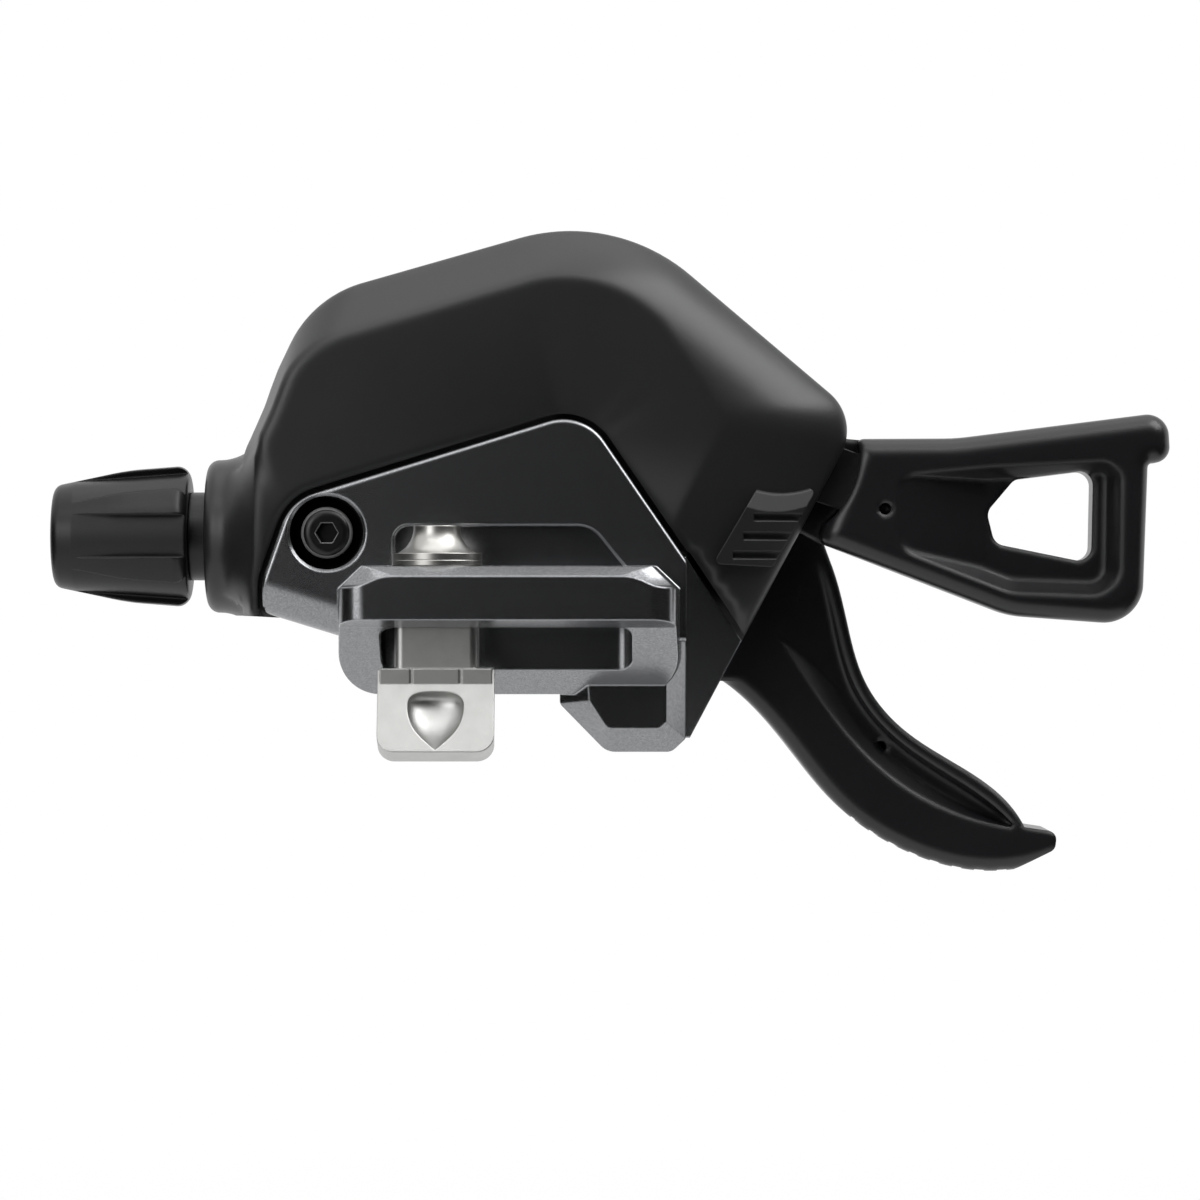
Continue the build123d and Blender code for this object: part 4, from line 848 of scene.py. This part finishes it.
@dataclass
class Felt:
    """A black felt that lies on the floor and runs up a round wall, between two azimuths in degrees."""

    name: str
    left: float
    right: float
    inner: float
    radius: float
    top: float
    steps: int = 25

    def points(self, middle: np.ndarray, low: float) -> np.ndarray:
        """Grid of the felt: its profile of radius and height, turned about the upright through the middle.

        Args:
            middle: the point that it goes round.
            low: height of the part on the floor.

        Returns:
            Array of profile points by steps by 3, in metres.
        """
        turn = np.radians(np.linspace(self.left, self.right, self.steps))[None, :]
        reach = np.array([self.inner, self.radius, self.radius])[:, None]
        height = np.array([low, low, self.top])[:, None]
        x = middle[0] + reach * np.sin(turn)
        y = middle[1] - reach * np.cos(turn)
        return np.stack([x, y, height + 0 * turn], axis=-1)


@dataclass
class Studio:
    """White studio with soft boxes, and black felts that keep what looks at them dark."""

    eye: tuple[float, float, float] = (0.01603, -0.482, -0.0033)
    lens_mm: float = 147.0
    sensor_mm: float = 36.0
    near_clip: float = 0.01
    middle: tuple[float, float, float] = (0.016, 0.012, 0.0)
    ambient: float = 0.45
    floor_drop: float = 0.06
    floor_half: float = 2.0
    shade: float = 0.06
    shade_reach: float = 0.3
    felt_lift: float = 0.002
    backdrop: str = "#ffffff"
    paper: str = "#eeeeee"
    cloth: str = "#080808"
    felts: tuple[Felt, ...] = (
        Felt("front_felt", left=-17.0, right=96.0, inner=0.13, radius=0.62, top=0.36),
        Felt("left_felt", left=-115.0, right=-50.0, inner=0.2, radius=0.62, top=0.22),
    )
    lamps: tuple[Lamp, ...] = (
        Lamp("top_box", azimuth=0.0, elevation=88.0, distance=0.55, width=0.5, height=0.5, radiance=0.9),
        Lamp("right_box", azimuth=66.0, elevation=47.0, distance=0.6, width=0.4, height=0.4, radiance=4.2),
        Lamp("left_box", azimuth=-36.0, elevation=14.0, distance=0.6, width=0.26, height=0.26, radiance=2.4),
        Lamp("rim_strip", azimuth=-4.0, elevation=54.0, distance=0.6, width=0.7, height=0.06, radiance=4.0),
    )

    def camera(self) -> None:
        """Stand the camera where the photograph was taken."""
        data = bpy.data.cameras.new("photo_camera")
        data.lens = self.lens_mm
        data.sensor_width = self.sensor_mm
        data.clip_start = self.near_clip
        camera = bpy.data.objects.new("photo_camera", data)
        camera.location = self.eye
        camera.rotation_euler = (math.pi / 2, 0.0, 0.0)
        bpy.context.scene.collection.objects.link(camera)
        bpy.context.scene.camera = camera

    def seen(self, tree: bpy.types.NodeTree) -> bpy.types.NodeSocket:
        """One for rays from the camera, from gloss and through glass, else zero."""
        path = add_node(tree, "ShaderNodeLightPath")
        share = path.outputs["Is Camera Ray"]
        for ray in ("Is Glossy Ray", "Is Transmission Ray"):
            either = add_node(tree, "ShaderNodeMath", {0: share, 1: path.outputs[ray]}, operation="MAXIMUM")
            share = either.outputs["Value"]
        return share

    def surround(self) -> None:
        """White backdrop all round, and a softer level for the light that it throws."""
        world = bpy.data.worlds.new("white_studio")
        world.use_nodes = True
        tree = world.node_tree
        tree.nodes.clear()
        level = add_node(
            tree,
            "ShaderNodeMapRange",
            {"Value": self.seen(tree), "To Min": self.ambient, "To Max": 1.0},
        )
        back = add_node(
            tree,
            "ShaderNodeBackground",
            {"Color": linear(self.backdrop), "Strength": level.outputs["Result"]},
        )
        add_node(tree, "ShaderNodeOutputWorld", {"Surface": back.outputs["Background"]})
        bpy.context.scene.world = world

    def sheet(self, name: str, points: np.ndarray) -> tuple[bpy.types.Object, bpy.types.NodeTree]:
        """A stage sheet with an empty material.

        Args:
            name: name of the sheet.
            points: array of rows by columns by 3, in metres.

        Returns:
            The sheet, and its material's node tree.
        """
        index = np.arange(points[..., 0].size).reshape(points.shape[:2])
        quads = np.stack([index[:-1, :-1], index[:-1, 1:], index[1:, 1:], index[1:, :-1]], axis=-1)
        mesh = bpy.data.meshes.new(name)
        mesh.from_pydata(points.reshape(-1, 3).tolist(), [], quads.reshape(-1, 4).tolist())
        piece = place_mesh(mesh)
        material = bpy.data.materials.new(name + "_surface")
        material.use_nodes = True
        material.node_tree.nodes.clear()
        mesh.materials.append(material)
        return piece, material.node_tree

    def floor(self) -> None:
        """Pale paper floor, which keeps a faint shadow near the part and is white further off."""
        low = CAD_BOX[0][2] - self.floor_drop
        x, y = np.meshgrid([-self.floor_half, self.floor_half], [-self.floor_half, self.floor_half])
        _, tree = self.sheet("paper_floor", np.stack([x, y, np.full_like(x, low)], axis=-1))
        paper = add_node(tree, "ShaderNodeBsdfDiffuse", {"Color": linear(self.paper)})
        glow = add_node(tree, "ShaderNodeEmission", {"Color": linear(self.backdrop), "Strength": 1.0})
        place = add_node(tree, "ShaderNodeTexCoord").outputs["Object"]
        under = (self.middle[0], self.middle[1], low)
        away = add_node(tree, "ShaderNodeVectorMath", {0: place, 1: under}, operation="DISTANCE")
        white = add_node(
            tree,
            "ShaderNodeMapRange",
            {
                "Value": away.outputs["Value"],
                "From Max": self.shade_reach,
                "To Min": 1 - self.shade,
                "To Max": 1.0,
            },
        )
        share = add_node(
            tree, "ShaderNodeMath", {0: self.seen(tree), 1: white.outputs["Result"]}, operation="MULTIPLY"
        )
        mixed = add_node(
            tree,
            "ShaderNodeMixShader",
            {0: share.outputs["Value"], 1: paper.outputs["BSDF"], 2: glow.outputs["Emission"]},
        )
        add_node(tree, "ShaderNodeOutputMaterial", {"Surface": mixed.outputs["Shader"]})

    def hang(self, felt: Felt) -> None:
        """Put up a felt, out of the camera's sight.

        Args:
            felt: the felt.
        """
        low = CAD_BOX[0][2] - self.floor_drop + self.felt_lift
        piece, tree = self.sheet(felt.name, felt.points(np.array(self.middle), low))
        piece.visible_camera = False
        cloth = add_node(tree, "ShaderNodeBsdfDiffuse", {"Color": linear(self.cloth)})
        add_node(tree, "ShaderNodeOutputMaterial", {"Surface": cloth.outputs["BSDF"]})

    def set_up(self) -> None:
        """Place the camera, backdrop, floor, felts and lamps."""
        bpy.context.scene.view_settings.view_transform = "Standard"
        self.camera()
        self.surround()
        self.floor()
        for felt in self.felts:
            self.hang(felt)
        for lamp in self.lamps:
            lamp.light(np.array(self.middle))


def main() -> None:
    """Dress every solid, add the surface detail and set up the studio."""
    logging.basicConfig(level=logging.INFO)
    palette = Palette()
    for group in (Housing(), Bracket(), Clamp(), Adjuster(), Mechanism(), Levers()):
        group.build(palette)
        group.dress(palette)
    Studio().set_up()


if __name__ == "__main__":
    main()
